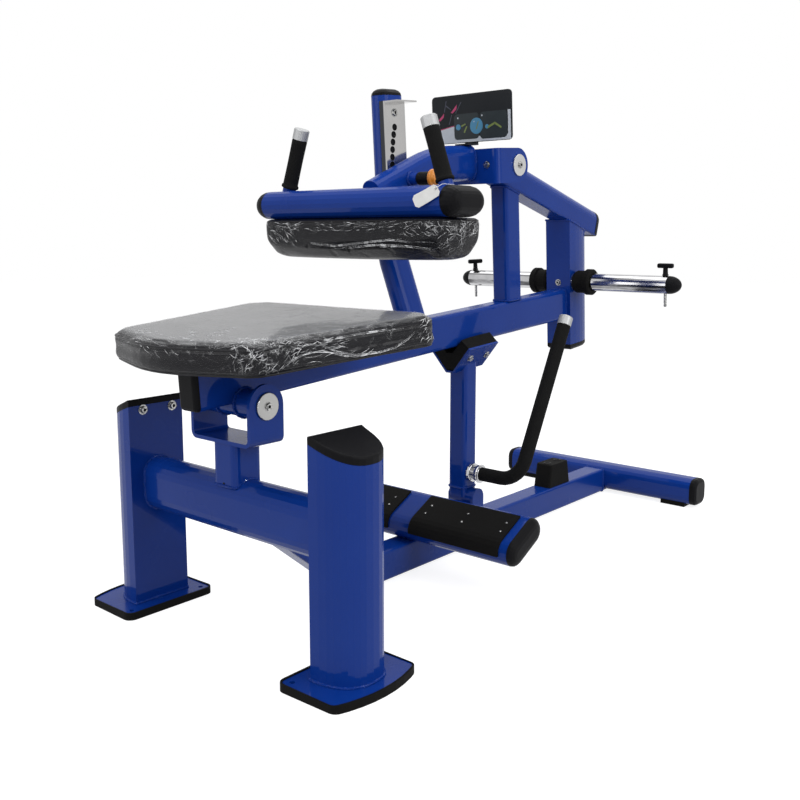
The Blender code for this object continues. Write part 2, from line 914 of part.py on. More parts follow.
def make_stop(stop):
    start, along, square = saddle_frame()
    post = turned(
        "stop_post", X * -stop_barrel_left, X,
        ((0, stop_barrel_radius), (stop_barrel_left + stop_barrel_right, stop_barrel_radius)),
        blue_paint, stop,
    )
    column = prism(
        "column", rounded_box(stop_post_side, stop_post_side, stop_post_corner, 3),
        Vector((0, 0, 0)), X, Y, Z, start.z + saddle_edge_drop, blue_paint, stop,
    )
    # The column ends inside the saddle's plate
    slope = math.atan2(saddle_drop, saddle_half_width)
    wide = 2 * stop_post_side
    rise = math.tan(slope)
    middle = saddle_plate / 2 / math.cos(slope) - saddle_drop
    wedge = [
        Vector((-wide, middle + wide * rise)), Vector((-saddle_foot, middle + saddle_foot * rise)),
        Vector((saddle_foot, middle + saddle_foot * rise)), Vector((wide, middle + wide * rise)),
    ]
    cut(column, prism("wedge", wedge, start, X, square, along, saddle_length, blue_paint, stop))
    join(post, column)
    trough = v_outline(saddle_half_width, saddle_drop, saddle_plate)
    join(post, prism("saddle", trough, start, X, square, along, saddle_length, blue_paint, stop))
    bore(post, Vector((0, 0, 0)), X, pivot_pin_radius + gap, 4 * stop_barrel_right)
    make_saddle_rubber(start, along, square, slope, stop)


def make_saddle_rubber(start, along, square, slope, stop):
    # A V block between the saddle and the beam's lower corners
    skin = saddle_plate + gap
    rise = math.tan(slope)
    shift_out = skin / math.cos(slope)
    half = saddle_half_width - skin * math.sin(slope)
    foot = saddle_foot
    corner = main_width / 2 - main_corner * (1 - math.sin(slope))
    corner_n = saddle_edge_drop + main_corner * (1 - math.cos(slope)) - gap / math.cos(slope)
    seat_low = corner_n - (corner - stop_rubber_floor_x) * rise
    seat_high = corner_n + (stop_rubber_lip_x - corner) * rise
    rings = []
    levels = (
        (edge_break, stop_rubber_relief), (saddle_length * stop_rubber_lead, 0), (saddle_length - edge_break, 0),
    )
    for distance, relief in levels:
        right = [
            Vector((foot, -saddle_drop + foot * rise + shift_out)),
            Vector((half, -saddle_drop + half * rise + shift_out)),
            Vector((stop_rubber_lip_x, seat_high - relief)),
            Vector((stop_rubber_floor_x, seat_low - relief)),
        ]
        left = [Vector((-point.x, point.y)) for point in reversed(right)]
        rings.append(ring(right + left, start + along * distance, X, square))
    loft("saddle_rubber", rings, black_rubber, stop, 20)


def make_lever(stop):
    height = lever_height - stop_z
    start = Vector((stop_post_side / 2 + gap, 0, height))
    nut, nut_end, waist, waist_end, flange, flange_end = coupling_steps
    profile = (
        (0, coupling_radius), (nut, coupling_radius), (nut, coupling_flange_radius),
        (nut_end, coupling_flange_radius), (waist, coupling_waist), (waist_end, coupling_waist),
        (flange, coupling_flange_radius), (flange_end, coupling_flange_radius),
        (coupling_length, coupling_waist),
    )
    turned("lever_coupling", start, X, profile, polished_steel, stop)
    corner = Vector((lever_x, 0, height))
    top = Vector((lever_x, lever_top_y - stop_y, lever_top_z - stop_z))
    lean = (top - corner).normalized()
    grip_start = start + X * (coupling_length + gap)
    grip_end = top - lean * (lever_cap_length / 2 + gap)
    path = bend(grip_start, corner, grip_end, lever_bend, lever_bend_steps)
    side = X.cross(lean).normalized()
    loft("lever_grip", swept_rings(circle(lever_radius), path, side), black_rubber, stop)
    profile = (
        (0, lever_cap_radius), (lever_cap_length - soft_break, lever_cap_radius),
        (lever_cap_length, lever_cap_radius - soft_break),
    )
    turned("lever_cap", top - lean * lever_cap_length / 2, lean, profile, aluminium, stop)


def make_main_beam(frame):
    outline = rounded_box(main_width, main_height, main_corner, 3)
    centre_n = main_underside + main_height / 2
    start = Vector((0, main_front, centre_n))
    length = rear_post_front - gap - main_front
    beam = prism("main_beam", outline, start, X, Z, Y, length, blue_paint, frame)
    barrel = turned(
        "barrel", X * -barrel_half, X, ((0, barrel_radius), (2 * barrel_half, barrel_radius)),
        blue_paint, frame,
    )
    join(beam, barrel)
    bore(beam, Vector((0, 0, 0)), X, pivot_pin_radius + gap, 4 * barrel_half)
    levels = dome(main_cap_length, main_cap_dome)
    stack(
        "beam_front_cap", outline, start - Y * gap, X, Z, -Y, levels, black_plastic, frame
    )


def top_axis():
    return Vector((0, math.cos(top_slope), -math.sin(top_slope)))


def top_underside(s, clearance=gap):
    drop = (s - top_pivot_s) * math.tan(top_slope)
    return top_pivot_n - drop - (top_drop + clearance) / math.cos(top_slope)


def make_posts(frame):
    outline = rounded_box(mid_post_width, mid_post_depth, mid_post_corner, 3)
    middle = mid_post_front + mid_post_depth / 2
    foot = main_underside + main_height + gap
    low = [Vector((p.x, middle + p.y, foot)) for p in outline]
    high = [Vector((p.x, middle + p.y, top_underside(middle + p.y))) for p in outline]
    loft("mid_post", [low, high], blue_paint, frame)
    outline = bulged(rear_post_chord, rear_post_depth, rear_post_power)
    low = [Vector((p.x, rear_post_front + p.y, rear_post_bottom)) for p in outline]
    high = [Vector((p.x, rear_post_front + p.y, top_underside(rear_post_front + p.y))) for p in outline]
    post = loft("rear_post", [low, high], blue_paint, frame)
    bore(post, Vector((0, horn_s, horn_n)), X, horn_radius + gap, horn_bore_length, round_steps)
    levels = (
        (0, 0), (rear_post_cap_length * rear_post_cap_step, 0), (rear_post_cap_length, rear_post_cap_draw),
    )
    stack(
        "rear_post_cap", outline, Vector((0, rear_post_front, rear_post_bottom - gap)), X, Y, -Z,
        levels, black_plastic, frame,
    )


def top_outline():
    # Flat underside with a round top
    half = top_width / 2
    flat = -top_drop
    crown = top_height - top_drop - half
    points = arc((0, crown), half, 0, math.pi, crown_steps)
    points += arc((-half + top_corner, flat + top_corner), top_corner, math.pi, 1.5 * math.pi, 3)
    points += arc((half - top_corner, flat + top_corner), top_corner, 1.5 * math.pi, 2 * math.pi, 3)
    return points


def make_top_tube(frame):
    axis = top_axis()
    up = X.cross(axis)
    pivot = Vector((0, top_pivot_s, top_pivot_n))
    outline = top_outline()
    tube = prism(
        "top_tube", outline, pivot + axis * top_start, X, up, axis, top_length - top_start,
        blue_paint, frame,
    )
    barrel = turned(
        "barrel", pivot - X * barrel_half, X, ((0, barrel_radius), (2 * barrel_half, barrel_radius)),
        blue_paint, frame,
    )
    join(tube, barrel)
    bore(tube, pivot, X, pivot_pin_radius + gap, 4 * barrel_half)
    levels = (
        (0, 0), (top_cap_length * top_cap_step, top_cap_skirt), (top_cap_length, top_cap_draw),
    )
    stack(
        "top_tube_cap", outline, pivot + axis * (top_length + gap), X, up, axis, levels,
        black_plastic, frame,
    )


def make_horn(frame):
    centre = Vector((0, horn_s, horn_n))
    shaft = turned(
        "horn_shaft", centre - X * horn_half, X, ((0, horn_radius), (2 * horn_half, horn_radius)),
        polished_steel, frame,
    )
    hole = horn_pin_radius + horn_pin_travel_clearance
    for side in (-1, 1):
        bore(shaft, centre + X * side * horn_pin_x, Z, hole, 3 * horn_radius, small_steps)
    for side, word in ((-1, "left"), (1, "right")):
        out = X * side
        levels = dome(horn_cap_length, horn_radius * horn_cap_dome, fine_dome_steps)
        profile = [(distance, horn_radius - draw) for distance, draw in levels]
        turned("horn_cap_" + word, centre + out * (horn_half + gap), out, profile, black_plastic, frame)
        step = collar_length * collar_step
        profile = (
            (0, collar_radius - collar_lip), (collar_lead, collar_radius), (step, collar_radius),
            (step + cap_break, collar_flange_radius), (collar_length - cap_break, collar_flange_radius),
            (collar_length, collar_flange_radius - cap_break),
        )
        collar = turned("horn_collar_" + word, centre + out * collar_inner_x, out, profile, black_rubber, frame)
        middle = centre + out * (collar_inner_x + collar_length / 2)
        bore(collar, middle, X, horn_radius + gap, horn_bore_length, round_steps)


def make_horn_pin(side, word, frame):
    home = make_empty("horn_pin_place_" + word, (side * horn_pin_x, horn_s, horn_n), frame)
    low = -horn_radius - horn_pin_below
    shoulder = horn_radius + gap
    top = shoulder + horn_pin_stem
    profile = (
        (low, horn_pin_radius - edge_break), (low + edge_break, horn_pin_radius),
        (shoulder, horn_pin_radius), (shoulder, horn_pin_neck), (top, horn_pin_neck_top),
    )
    pin = turned("horn_pin_" + word, Vector((0, 0, 0)), Z, profile, black_plastic, home, small_steps)
    outline = rounded_box(horn_pin_handle, horn_pin_handle_depth, horn_pin_handle_corner, 2)
    handle = prism(
        "handle", outline, Vector((0, 0, top - soft_break)), X, Y, Z, horn_pin_handle_height,
        black_plastic, home,
    )
    join(pin, handle)
    home.rotation_euler = (0, 0, 0 if side > 0 else horn_pin_turn)


def make_tower(frame):
    outline = flat_oval(tower_depth, tower_width)
    foot_n = main_underside + main_height + gap
    foot = Vector((tower_foot_x, tower_s, foot_n))
    corner = Vector((tower_x, tower_s, tower_bend_n))
    top = Vector((tower_x, tower_s, tower_top_n))
    path = bend(foot, corner, top, tower_bend_radius, 4)
    lean = (corner - foot).normalized()
    # The foot is cut level, to stand on the beam
    level_foot = ring(outline, foot, Y, X / lean.z)
    loft("tower", [level_foot] + swept_rings(outline, path, Y)[1:], blue_paint, frame)
    stack(
        "tower_cap", outline, top + Z * gap, Y, -X, Z, dome(tower_cap_length, tower_cap_dome),
        black_plastic, frame,
    )


def hole_place(index):
    angle = adjuster_first_hole - adjuster_hole_pitch * index
    return Vector((
        0,
        top_pivot_s - pin_swing * math.cos(angle),
        top_pivot_n + pin_swing * math.sin(angle),
    ))


def make_adjuster(frame):
    # A plate with a return along its front edge, a lip bent outward at its top
    face = adjuster_face_x
    inner_x = face - adjuster_thickness
    back = adjuster_front + adjuster_width
    wall = adjuster_front + adjuster_thickness
    section = [
        (face, adjuster_front), (face, back), (inner_x, back), (inner_x, wall),
        (face - adjuster_return, wall), (face - adjuster_return, adjuster_front),
    ]
    plate = prism(
        "adjuster_plate", [Vector(point) for point in section], Z * adjuster_bottom, X, Y, Z,
        adjuster_top - adjuster_bottom, polished_steel, frame,
    )
    join(plate, box(
        "lip", (face - adjuster_thickness / 2, adjuster_front + gap, adjuster_top - adjuster_thickness),
        (face + adjuster_lip, back - gap, adjuster_top - gap), polished_steel, frame,
    ))
    tower_side = tower_x + tower_width / 2
    stand_off = inner_x + adjuster_thickness / 2 - tower_side - gap
    for n in (adjuster_bottom + adjuster_bolt_drop / 2, adjuster_top - adjuster_bolt_drop):
        seat = Vector((tower_side + gap, tower_s, n))
        join(plate, turned(
            "boss", seat, X, ((0, adjuster_boss_radius), (stand_off, adjuster_boss_radius)),
            polished_steel, frame, 16,
        ))
    length = 4 * adjuster_thickness
    radius = adjuster_hole_radius
    drills = [
        turned(
            "drill", hole_place(index) + X * (inner_x - length / 2), X,
            ((0, radius), (length, radius)), brushed_steel, frame, 16,
        )
        for index in range(adjuster_hole_count)
    ]
    cut(plate, gathered(drills))


# Thigh arm: level directions of the room, as the tilted frame sees them
level_back = Vector((0, math.cos(swing_tilt), -math.sin(swing_tilt)))
level_up = Vector((0, math.sin(swing_tilt), math.cos(swing_tilt)))


def crossbar_centre():
    return Vector((0, crossbar_back, crossbar_up))


def pad_top():
    return crossbar_centre() - level_up * (crossbar_height / 2 + gap) + level_back * thigh_offset


def make_arm_tube(arm):
    start = Vector((0, -arm_clevis_reach - gap, arm_rise))
    corner = Vector((0, arm_bend_back, arm_rise))
    slope = Vector((0, -math.cos(arm_slope), -math.sin(arm_slope)))
    run = (corner.y - crossbar_back - arm_end_in_bar) / math.cos(arm_slope)
    end = corner + slope * run
    path = bend(start, corner, end, arm_bend_radius, 5)
    tube = loft("arm_tube", swept_rings(flat_oval(arm_width, arm_height), path, X), blue_paint, arm)
    pin = hole_place(adjuster_rest_hole) - Vector((0, top_pivot_s, top_pivot_n))
    join(tube, turned(
        "boss", pin, X, ((0, boss_radius), (arm_width / 2 + boss_length, boss_radius)), blue_paint, arm, 20
    ))
    bore(tube, pin, X, pin_radius + gap, 4 * arm_width)
    grown = flat_oval(crossbar_depth + 2 * gap, crossbar_height + 2 * gap)
    cut(tube, prism(
        "bar_tool", grown, crossbar_centre() - X * arm_width, level_back, level_up, X,
        2 * arm_width, blue_paint, arm,
    ))
    # Below the crossbar's underside the arm stops, for the thigh cushion
    wide, deep = pad_tool_size
    low = [Vector((-wide, -deep)), Vector((wide, -deep)), Vector((wide, 0)), Vector((-wide, 0))]
    cut(tube, prism(
        "pad_tool", low, pad_top() + level_up * 2 * gap - X * arm_width, level_back, level_up, X,
        2 * arm_width, blue_paint, arm,
    ))
    clean_small_bodies(tube)
    return pin


def make_pull_pin(pin, arm):
    home = make_empty("pull_pin_place", pin, arm)
    tip = adjuster_face_x + gap
    grip = arm_width / 2 + boss_length + gap
    flange = grip + pin_grip_length
    profile = (
        (tip, pin_radius - pin_tip_break), (tip + pin_tip_break, pin_radius), (grip, pin_radius),
        (grip, pin_grip_radius), (flange, pin_grip_radius), (flange, pin_flange_radius),
        (flange + pin_flange_length - cap_break, pin_flange_radius),
        (flange + pin_flange_length, pin_flange_radius - pin_flange_break),
    )
    turned("pull_pin", Vector((0, 0, 0)), X, profile, black_rubber, home)


def make_crossbar(arm):
    outline = flat_oval(crossbar_depth, crossbar_height)
    centre = crossbar_centre()
    bar = prism(
        "crossbar", outline, centre - X * crossbar_half, level_back, level_up, X,
        2 * crossbar_half, blue_paint, arm,
    )
    for side, word in ((-1, "left"), (1, "right")):
        base = centre + level_back * handle_base_back + level_up * crossbar_height / 2
        base += X * side * handle_base_x
        lean = (level_up * math.cos(handle_lean) - X * side * math.sin(handle_lean)).normalized()
        join(bar, turned(
            "stub", base - lean * handle_stub_root, lean,
            ((0, handle_stub_radius), (handle_stub_length + handle_stub_root, handle_stub_radius)),
            blue_paint, arm, 20,
        ))
        start = base + lean * (handle_stub_length + gap)
        profile = (
            (0, grip_flange_radius - edge_break), (edge_break, grip_flange_radius),
            (grip_flange_end, grip_flange_radius), (grip_flange_taper, grip_radius), (grip_length, grip_radius),
        )
        turned("handle_grip_" + word, start, lean, profile, black_rubber, arm)
        profile = (
            (0, grip_cap_radius), (grip_cap_length - soft_break, grip_cap_radius),
            (grip_cap_length, grip_cap_radius - soft_break),
        )
        top = start + lean * (grip_length + gap)
        turned("handle_cap_" + word, top, lean, profile, aluminium, arm)
        stack(
            "crossbar_cap_" + word, outline, centre + X * side * (crossbar_half + gap),
            level_back, level_up, X * side,
            dome(crossbar_cap_length, crossbar_cap_dome, fine_dome_steps), black_plastic, arm,
        )


def make_thigh_pad(arm):
    # Corners from the flat top, front and back, round the padded underside
    depth = thigh_depth / 2
    high = thigh_height
    origin = pad_top()
    rings = []
    ends = tuple((-share, draw) for share, draw in thigh_ends[:-1]) + thigh_ends[::-1]
    for share, draw in ends:
        amount = draw * thigh_end_draw
        side = depth - amount
        low = high - amount
        flank, belly, waist = side * thigh_flank, side * thigh_belly, low * thigh_bend
        corners = (
            (side, 0), (-side, 0), (-flank, -waist), (-belly, -low), (belly, -low), (flank, -waist),
        )
        outline = filleted(corners, [thigh_top_radius] * 2 + [thigh_low_radius] * 4, 4)
        rings.append(ring(outline, origin + X * share * thigh_half, level_back, level_up))
    loft("thigh_pad", rings, black_vinyl, arm, 60)


def make_seat(frame):
    corners = (
        (-seat_front_half, seat_front_corner_s), (0, seat_front_s), (seat_front_half, seat_front_corner_s),
        (seat_wide_half, seat_wide_s), (seat_back_half, seat_back_s), (-seat_back_half, seat_back_s),
        (-seat_wide_half, seat_wide_s),
    )
    radii = (
        seat_corner_radius, seat_front_radius, seat_corner_radius, seat_side_radius,
        seat_back_radius, seat_back_radius, seat_side_radius,
    )
    outline = filleted(corners, radii)
    base = Vector((0, 0, main_underside + main_height + gap))
    high = seat_thickness
    rings = [ring(inset(outline, draw), base + Z * high * level, X, Y) for level, draw in seat_levels]
    for share, level in seat_crown:
        rings.append(ring(shrunk(outline, share), base + Z * high * level, X, Y))
    loft("seat_pad", rings, black_vinyl, frame, 60)


def make_sign(arm):
    half = sign_half_width
    outline = rounded_box(2 * half, sign_height, sign_corner, 3)
    centre = Vector((sign_centre_x, sign_back, sign_bottom + sign_height / 2))
    sign = prism("placard", outline, centre, X, Z, Y, sign_thickness, placard_grey, arm)
    # A bent strip behind the placard, its foot on the arm tube
    foot_n = arm_rise + arm_height / 2 + gap
    thick = sign_thickness
    rear = sign_back + thick * sign_bracket_gap
    join(sign, box(
        "upright", (-sign_bracket_half, sign_back + thick / 2, foot_n),
        (sign_bracket_half, rear, sign_bracket_top), placard_grey, arm,
    ))
    join(sign, box(
        "foot", (-sign_bracket_half, rear - sign_bracket_reach, foot_n),
        (sign_bracket_half, sign_back + thick, foot_n + thick), placard_grey, arm,
    ))


def make_arm(frame):
    pivot = Vector((0, top_pivot_s, top_pivot_n))
    arm = make_empty("arm_axis", pivot, frame)
    centre = Vector((0, 0, 0))
    clevis("arm_clevis", centre, Y, arm_clevis_radius, arm_clevis_reach, blue_paint, arm)
    pivot_pin(
        "top_pivot_pin", centre, clevis_half_width + gap, disc_radius, disc_thickness, arm
    )
    pin = make_arm_tube(arm)
    make_pull_pin(pin, arm)
    make_crossbar(arm)
    make_thigh_pad(arm)
    make_sign(arm)


def solid_bounds():
    bpy.context.view_layer.update()
    corners = [
        item.matrix_world @ vertex.co
        for item in bpy.data.objects if item.type == "MESH"
        for vertex in item.data.vertices
    ]
    low = Vector([min(p[i] for p in corners) for i in range(3)])
    high = Vector([max(p[i] for p in corners) for i in range(3)])
    return low, high


def main():
    clear_scene()
    base = make_empty("machine", (0, 0, 0))
    for side, word in ((-1, "left"), (1, "right")):
        make_side(side, word, base)
    make_cross(base)
    make_floor_beam(base)
    make_rear_foot(base)
    make_foot_bar(base)
    make_bumper(base)
    make_stop_bracket(base)
    stop = make_empty("stop_axis", (0, stop_y, stop_z), base)
    make_stop(stop)
    make_lever(stop)
    frame = make_empty("frame_axis", (0, 0, front_pivot_z), base)
    frame.rotation_euler = (swing_tilt, 0, 0)
    make_main_beam(frame)
    make_posts(frame)
    make_top_tube(frame)
    make_horn(frame)
    for side, word in ((-1, "left"), (1, "right")):
        make_horn_pin(side, word, frame)
    make_tower(frame)
    make_adjuster(frame)
    make_seat(frame)
    make_arm(frame)
    # The origin is the middle of the machine's box, on the floor
    low, high = solid_bounds()
    base.location = (0, -(low.y + high.y) / 2, 0)
    bpy.context.view_layer.update()
    print("box", [round(v, 4) for v in high - low], "shift", round(base.location.y, 5))
    for item in bpy.data.objects:
        if item.type == "EMPTY":
            print(item.name, [round(v, 5) for v in item.matrix_world.translation])


main()
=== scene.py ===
# Plate-loaded calf raise machine: finishes, cushions, film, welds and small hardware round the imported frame
import json
import math
import random

import bmesh
import bpy
from mathutils import Matrix, Vector, noise
from mathutils.bvhtree import BVHTree
from mathutils.kdtree import KDTree


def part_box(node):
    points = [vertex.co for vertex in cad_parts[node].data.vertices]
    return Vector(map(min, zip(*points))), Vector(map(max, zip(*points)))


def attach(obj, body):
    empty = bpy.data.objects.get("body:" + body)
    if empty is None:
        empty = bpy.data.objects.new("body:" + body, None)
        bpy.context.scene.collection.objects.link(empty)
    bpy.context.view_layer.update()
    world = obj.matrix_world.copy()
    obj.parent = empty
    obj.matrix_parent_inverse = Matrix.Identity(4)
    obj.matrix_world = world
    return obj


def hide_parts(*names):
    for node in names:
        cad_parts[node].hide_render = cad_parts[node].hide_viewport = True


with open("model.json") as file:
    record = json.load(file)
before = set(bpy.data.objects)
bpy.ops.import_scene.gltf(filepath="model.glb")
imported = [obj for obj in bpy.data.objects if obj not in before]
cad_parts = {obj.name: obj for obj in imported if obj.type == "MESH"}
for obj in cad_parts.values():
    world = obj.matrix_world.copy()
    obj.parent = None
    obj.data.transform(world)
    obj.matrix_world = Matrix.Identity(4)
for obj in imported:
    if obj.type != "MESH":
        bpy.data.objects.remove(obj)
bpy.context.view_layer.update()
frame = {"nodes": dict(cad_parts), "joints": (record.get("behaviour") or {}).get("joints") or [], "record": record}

nodes = frame["nodes"]
joints = {joint["name"]: joint for joint in frame["joints"]}
across = Vector((1, 0, 0))
upward = Vector((0, 0, 1))
framePivot = Vector(joints["frame_lift"]["pos_m"])
armPivot = Vector(joints["arm_adjust"]["pos_m"])
stopPivot = Vector(joints["stop_swing"]["pos_m"])
swingUp = Vector(joints["horn_pin_left_slide"]["axis"]).normalized()   # square to the main beam
swingBack = swingUp.cross(across).normalized()                          # along the main beam, rearwards
topSlope = math.radians(19.4)                                           # the top tube falls rearwards by this


def onArm(x, s, n):  # a place on the thigh arm, from its pivot
    return armPivot + across * x + swingBack * s + swingUp * n


# Camera, floor and light
view = {
    "place": (1.4777, -1.89671, 0.8336),
    "azimuth": math.radians(40.73),
    "elevation": math.radians(8.29),
    "focalPixels": 945.3,
    "imagePixels": 800,
    "centrePixels": (399.06, 370.86),
}


def towardCamera():  # the direction from the object to the camera
    turn, rise = view["azimuth"], view["elevation"]
    return Vector((math.sin(turn) * math.cos(rise), -math.cos(turn) * math.cos(rise), math.sin(rise)))


def fromCamera(px, py):  # the way the camera looks through a pixel of its picture
    return towardCamera().to_track_quat("Z", "Y") @ Vector((
        (px - view["centrePixels"][0]) / view["focalPixels"],
        -(py - view["centrePixels"][1]) / view["focalPixels"], -1,
    ))


def newObject(name, data):
    item = bpy.data.objects.new(name, data)
    bpy.context.scene.collection.objects.link(item)
    return item


def evaluated(item):  # a plain mesh of what an object's modifiers make
    return bpy.data.meshes.new_from_object(item.evaluated_get(bpy.context.evaluated_depsgraph_get()))


def makeCamera():
    camera = newObject("camera", bpy.data.cameras.new("camera"))
    camera.location = view["place"]
    camera.rotation_euler = towardCamera().to_track_quat("Z", "Y").to_euler()
    size = view["imagePixels"]
    camera.data.sensor_width = 36
    camera.data.lens = view["focalPixels"] * camera.data.sensor_width / size
    camera.data.shift_x = (size / 2 - view["centrePixels"][0]) / size
    camera.data.shift_y = -(size / 2 - view["centrePixels"][1]) / size
    camera.data.clip_end = 50
    bpy.context.scene.camera = camera


lamps = {
    "rightSoftbox": {"place": (3.2, 0.3, 2.0), "size": (2.4, 2.4), "power": 52},
    "topSoftbox": {"place": (-0.3, 0.5, 3.4), "size": (3.0, 3.0), "power": 50},
    "frontSoftbox": {"place": (-1.2, -4.2, 1.9), "size": (2.6, 2.6), "power": 38},
    "tallStrip": {"place": (1.9, -3.0, 1.5), "size": (0.022, 1.8), "power": 14},
    "wideStrip": {"place": (0.5, -1.6, 3.0), "size": (2.0, 0.025), "power": 16},
}


def makeLamps():
    aim = Vector((0, 0, 0.55))
    for name, lamp in lamps.items():
        light = bpy.data.lights.new(name, "AREA")
        light.shape = "RECTANGLE"
        light.size, light.size_y = lamp["size"]
        light.energy = lamp["power"]
        item = newObject(name, light)
        item.location = lamp["place"]
        item.rotation_euler = (item.location - aim).to_track_quat("Z", "Y").to_euler()


# Shader sums: a wrapped socket takes part in Python expressions
class Wire:
    def __init__(self, finish, socket):
        self.finish = finish
        self.socket = socket

    def sum(self, operation, *values):
        return self.finish.node("ShaderNodeMath", {"operation": operation}, dict(enumerate(values)))

    def __add__(self, other):
        return self.sum("ADD", self, other)

    def __radd__(self, other):
        return self.sum("ADD", other, self)

    def __sub__(self, other):
        return self.sum("SUBTRACT", self, other)

    def __rsub__(self, other):
        return self.sum("SUBTRACT", other, self)

    def __mul__(self, other):
        return self.sum("MULTIPLY", self, other)

    def __rmul__(self, other):
        return self.sum("MULTIPLY", other, self)

    def __truediv__(self, other):
        return self.sum("DIVIDE", self, other)

    def __gt__(self, other):
        return self.sum("GREATER_THAN", self, other)

    def clamp(self):
        return self.finish.node("ShaderNodeClamp", {}, {"Value": self})

    def size(self):  # without its sign
        return self.finish.node("ShaderNodeMath", {"operation": "ABSOLUTE"}, {0: self})

    def power(self, exponent):
        return self.sum("POWER", self, exponent)

    def band(self, low, high):  # 0 below low, 1 above high, smooth between
        return self.finish.node(
            "ShaderNodeMapRange", {"interpolation_type": "SMOOTHSTEP"},
            {"Value": self, "From Min": low, "From Max": high},
        )


class Finish:
    def __init__(self, name, colour, roughness, **fixed):
        self.material = bpy.data.materials.new(name)
        self.material.use_nodes = True
        self.tree = self.material.node_tree
        self.shader = self.tree.nodes["Principled BSDF"]
        self.place = self.node("ShaderNodeTexCoord", output="Object")
        self.set("Base Color", (*colour, 1))
        self.set("Roughness", roughness)
        for key, value in fixed.items():
            self.set(key.replace("_", " "), value)

    def node(self, kind, settings=None, values=None, output=0):
        node = self.tree.nodes.new(kind)
        for key, value in (settings or {}).items():
            setattr(node, key, value)
        for key, value in (values or {}).items():
            self.feed(node.inputs[key], value)
        return Wire(self, node.outputs[output])

    def feed(self, socket, value):
        if isinstance(value, Wire):
            self.tree.links.new(value.socket, socket)
        else:
            socket.default_value = value

    def set(self, key, value):
        self.feed(self.shader.inputs[key], value)

    def noise(self, scale, detail=2.0, roughness=0.5, place=None, stretch=None):
        place = place or self.place
        if stretch:
            place = self.node("ShaderNodeMapping", {}, {"Vector": place, "Scale": stretch})
        values = {"Vector": place, "Scale": scale, "Detail": detail, "Roughness": roughness}
        return self.node("ShaderNodeTexNoise", {}, values)

    def cells(self, scale, feature="F1", output="Distance", place=None):
        values = {"Vector": place or self.place, "Scale": scale}
        return self.node("ShaderNodeTexVoronoi", {"feature": feature}, values, output)

    def blend(self, low, high, share):
        mix = self.tree.nodes.new("ShaderNodeMix")
        mix.data_type = "RGBA"
        for socket, value in ((mix.inputs[0], share), (mix.inputs[6], low), (mix.inputs[7], high)):
            self.feed(socket, value if isinstance(value, (Wire, float)) else (*value, 1))
        return Wire(self, mix.outputs[2])

    def vector(self, operation, first, second=None, output=0):
        values = {0: first} if second is None else {0: first, 1: second}
        return self.node("ShaderNodeVectorMath", {"operation": operation}, values, output)

    def shaken(self, scale, amount, detail=2.0):  # the place, moved about by a noise
        values = {"Vector": self.place, "Scale": scale, "Detail": detail}
        ripple = self.node("ShaderNodeTexNoise", {}, values, "Color")
        moved = self.node("ShaderNodeVectorMath", {"operation": "SCALE"}, {0: ripple, "Scale": amount})
        return self.vector("ADD", self.place, moved)

    def bump(self, height, distance, strength=1.0, under=None):
        values = {"Height": height, "Distance": distance, "Strength": strength}
        if under:
            values["Normal"] = under
        bump = self.node("ShaderNodeBump", {}, values)
        self.set("Normal", bump)
        return bump


def powderCoat():
    finish = Finish(
        "powderCoatBlue", (0.006, 0.042, 0.262), 0.25, Coat_Weight=0.22, Coat_Roughness=0.035,
        Specular_IOR_Level=0.04,
    )
    drift = finish.noise(4.0, 3.0)
    dust = finish.noise(900.0, 2.0).band(0.66, 0.80)
    tone = finish.blend((0.002, 0.028, 0.222), (0.005, 0.042, 0.280), drift)
    finish.set("Base Color", finish.blend(tone, (0.10, 0.14, 0.42), dust * 0.25))
    finish.set("Roughness", 0.20 + finish.noise(14.0, 4.0) * 0.12 + dust * 0.15)
    peel = finish.bump(finish.noise(320.0, 1.0), 0.00010, 0.55)
    finish.bump(finish.noise(60.0, 1.0), 0.00025, 0.25, peel)
    return finish.material


def mouldedPlastic():
    finish = Finish("mouldedPlasticBlack", (0.006, 0.006, 0.007), 0.42, Specular_IOR_Level=0.06)
    grain = finish.noise(1600.0, 3.0, 0.6)
    tone = finish.noise(9.0, 4.0)
    finish.set("Base Color", finish.blend((0.003, 0.003, 0.004), (0.008, 0.008, 0.009), tone))
    finish.set("Roughness", 0.34 + grain * 0.22)
    finish.bump(grain, 0.00012, 0.5)
    return finish.material


def mouldedRubber():
    finish = Finish("mouldedRubberBlack", (0.008, 0.008, 0.008), 0.72, Specular_IOR_Level=0.06)
    cloud = finish.noise(22.0, 5.0, 0.6)
    speck = finish.cells(700.0).band(0.12, 0.04)
    tone = finish.blend((0.004, 0.004, 0.004), (0.010, 0.0095, 0.009), cloud)
    finish.set("Base Color", finish.blend(tone, (0.05, 0.048, 0.045), speck * 0.3))
    finish.set("Roughness", 0.62 + cloud * 0.2)
    finish.bump(finish.noise(1100.0, 3.0), 0.00020, 0.6)
    return finish.material


def closedCellFoam():
    finish = Finish("closedCellFoam", (0.008, 0.008, 0.008), 0.82, Specular_IOR_Level=0.06)
    pores = finish.cells(1500.0)
    finish.set("Base Color", finish.blend((0.004, 0.004, 0.004), (0.014, 0.014, 0.014), pores))
    finish.set("Roughness", 0.72 + finish.noise(30.0, 4.0) * 0.2)
    skin = finish.bump(pores, 0.00030, 0.7)
    finish.bump(finish.noise(45.0, 3.0), 0.0006, 0.35, skin)
    return finish.material


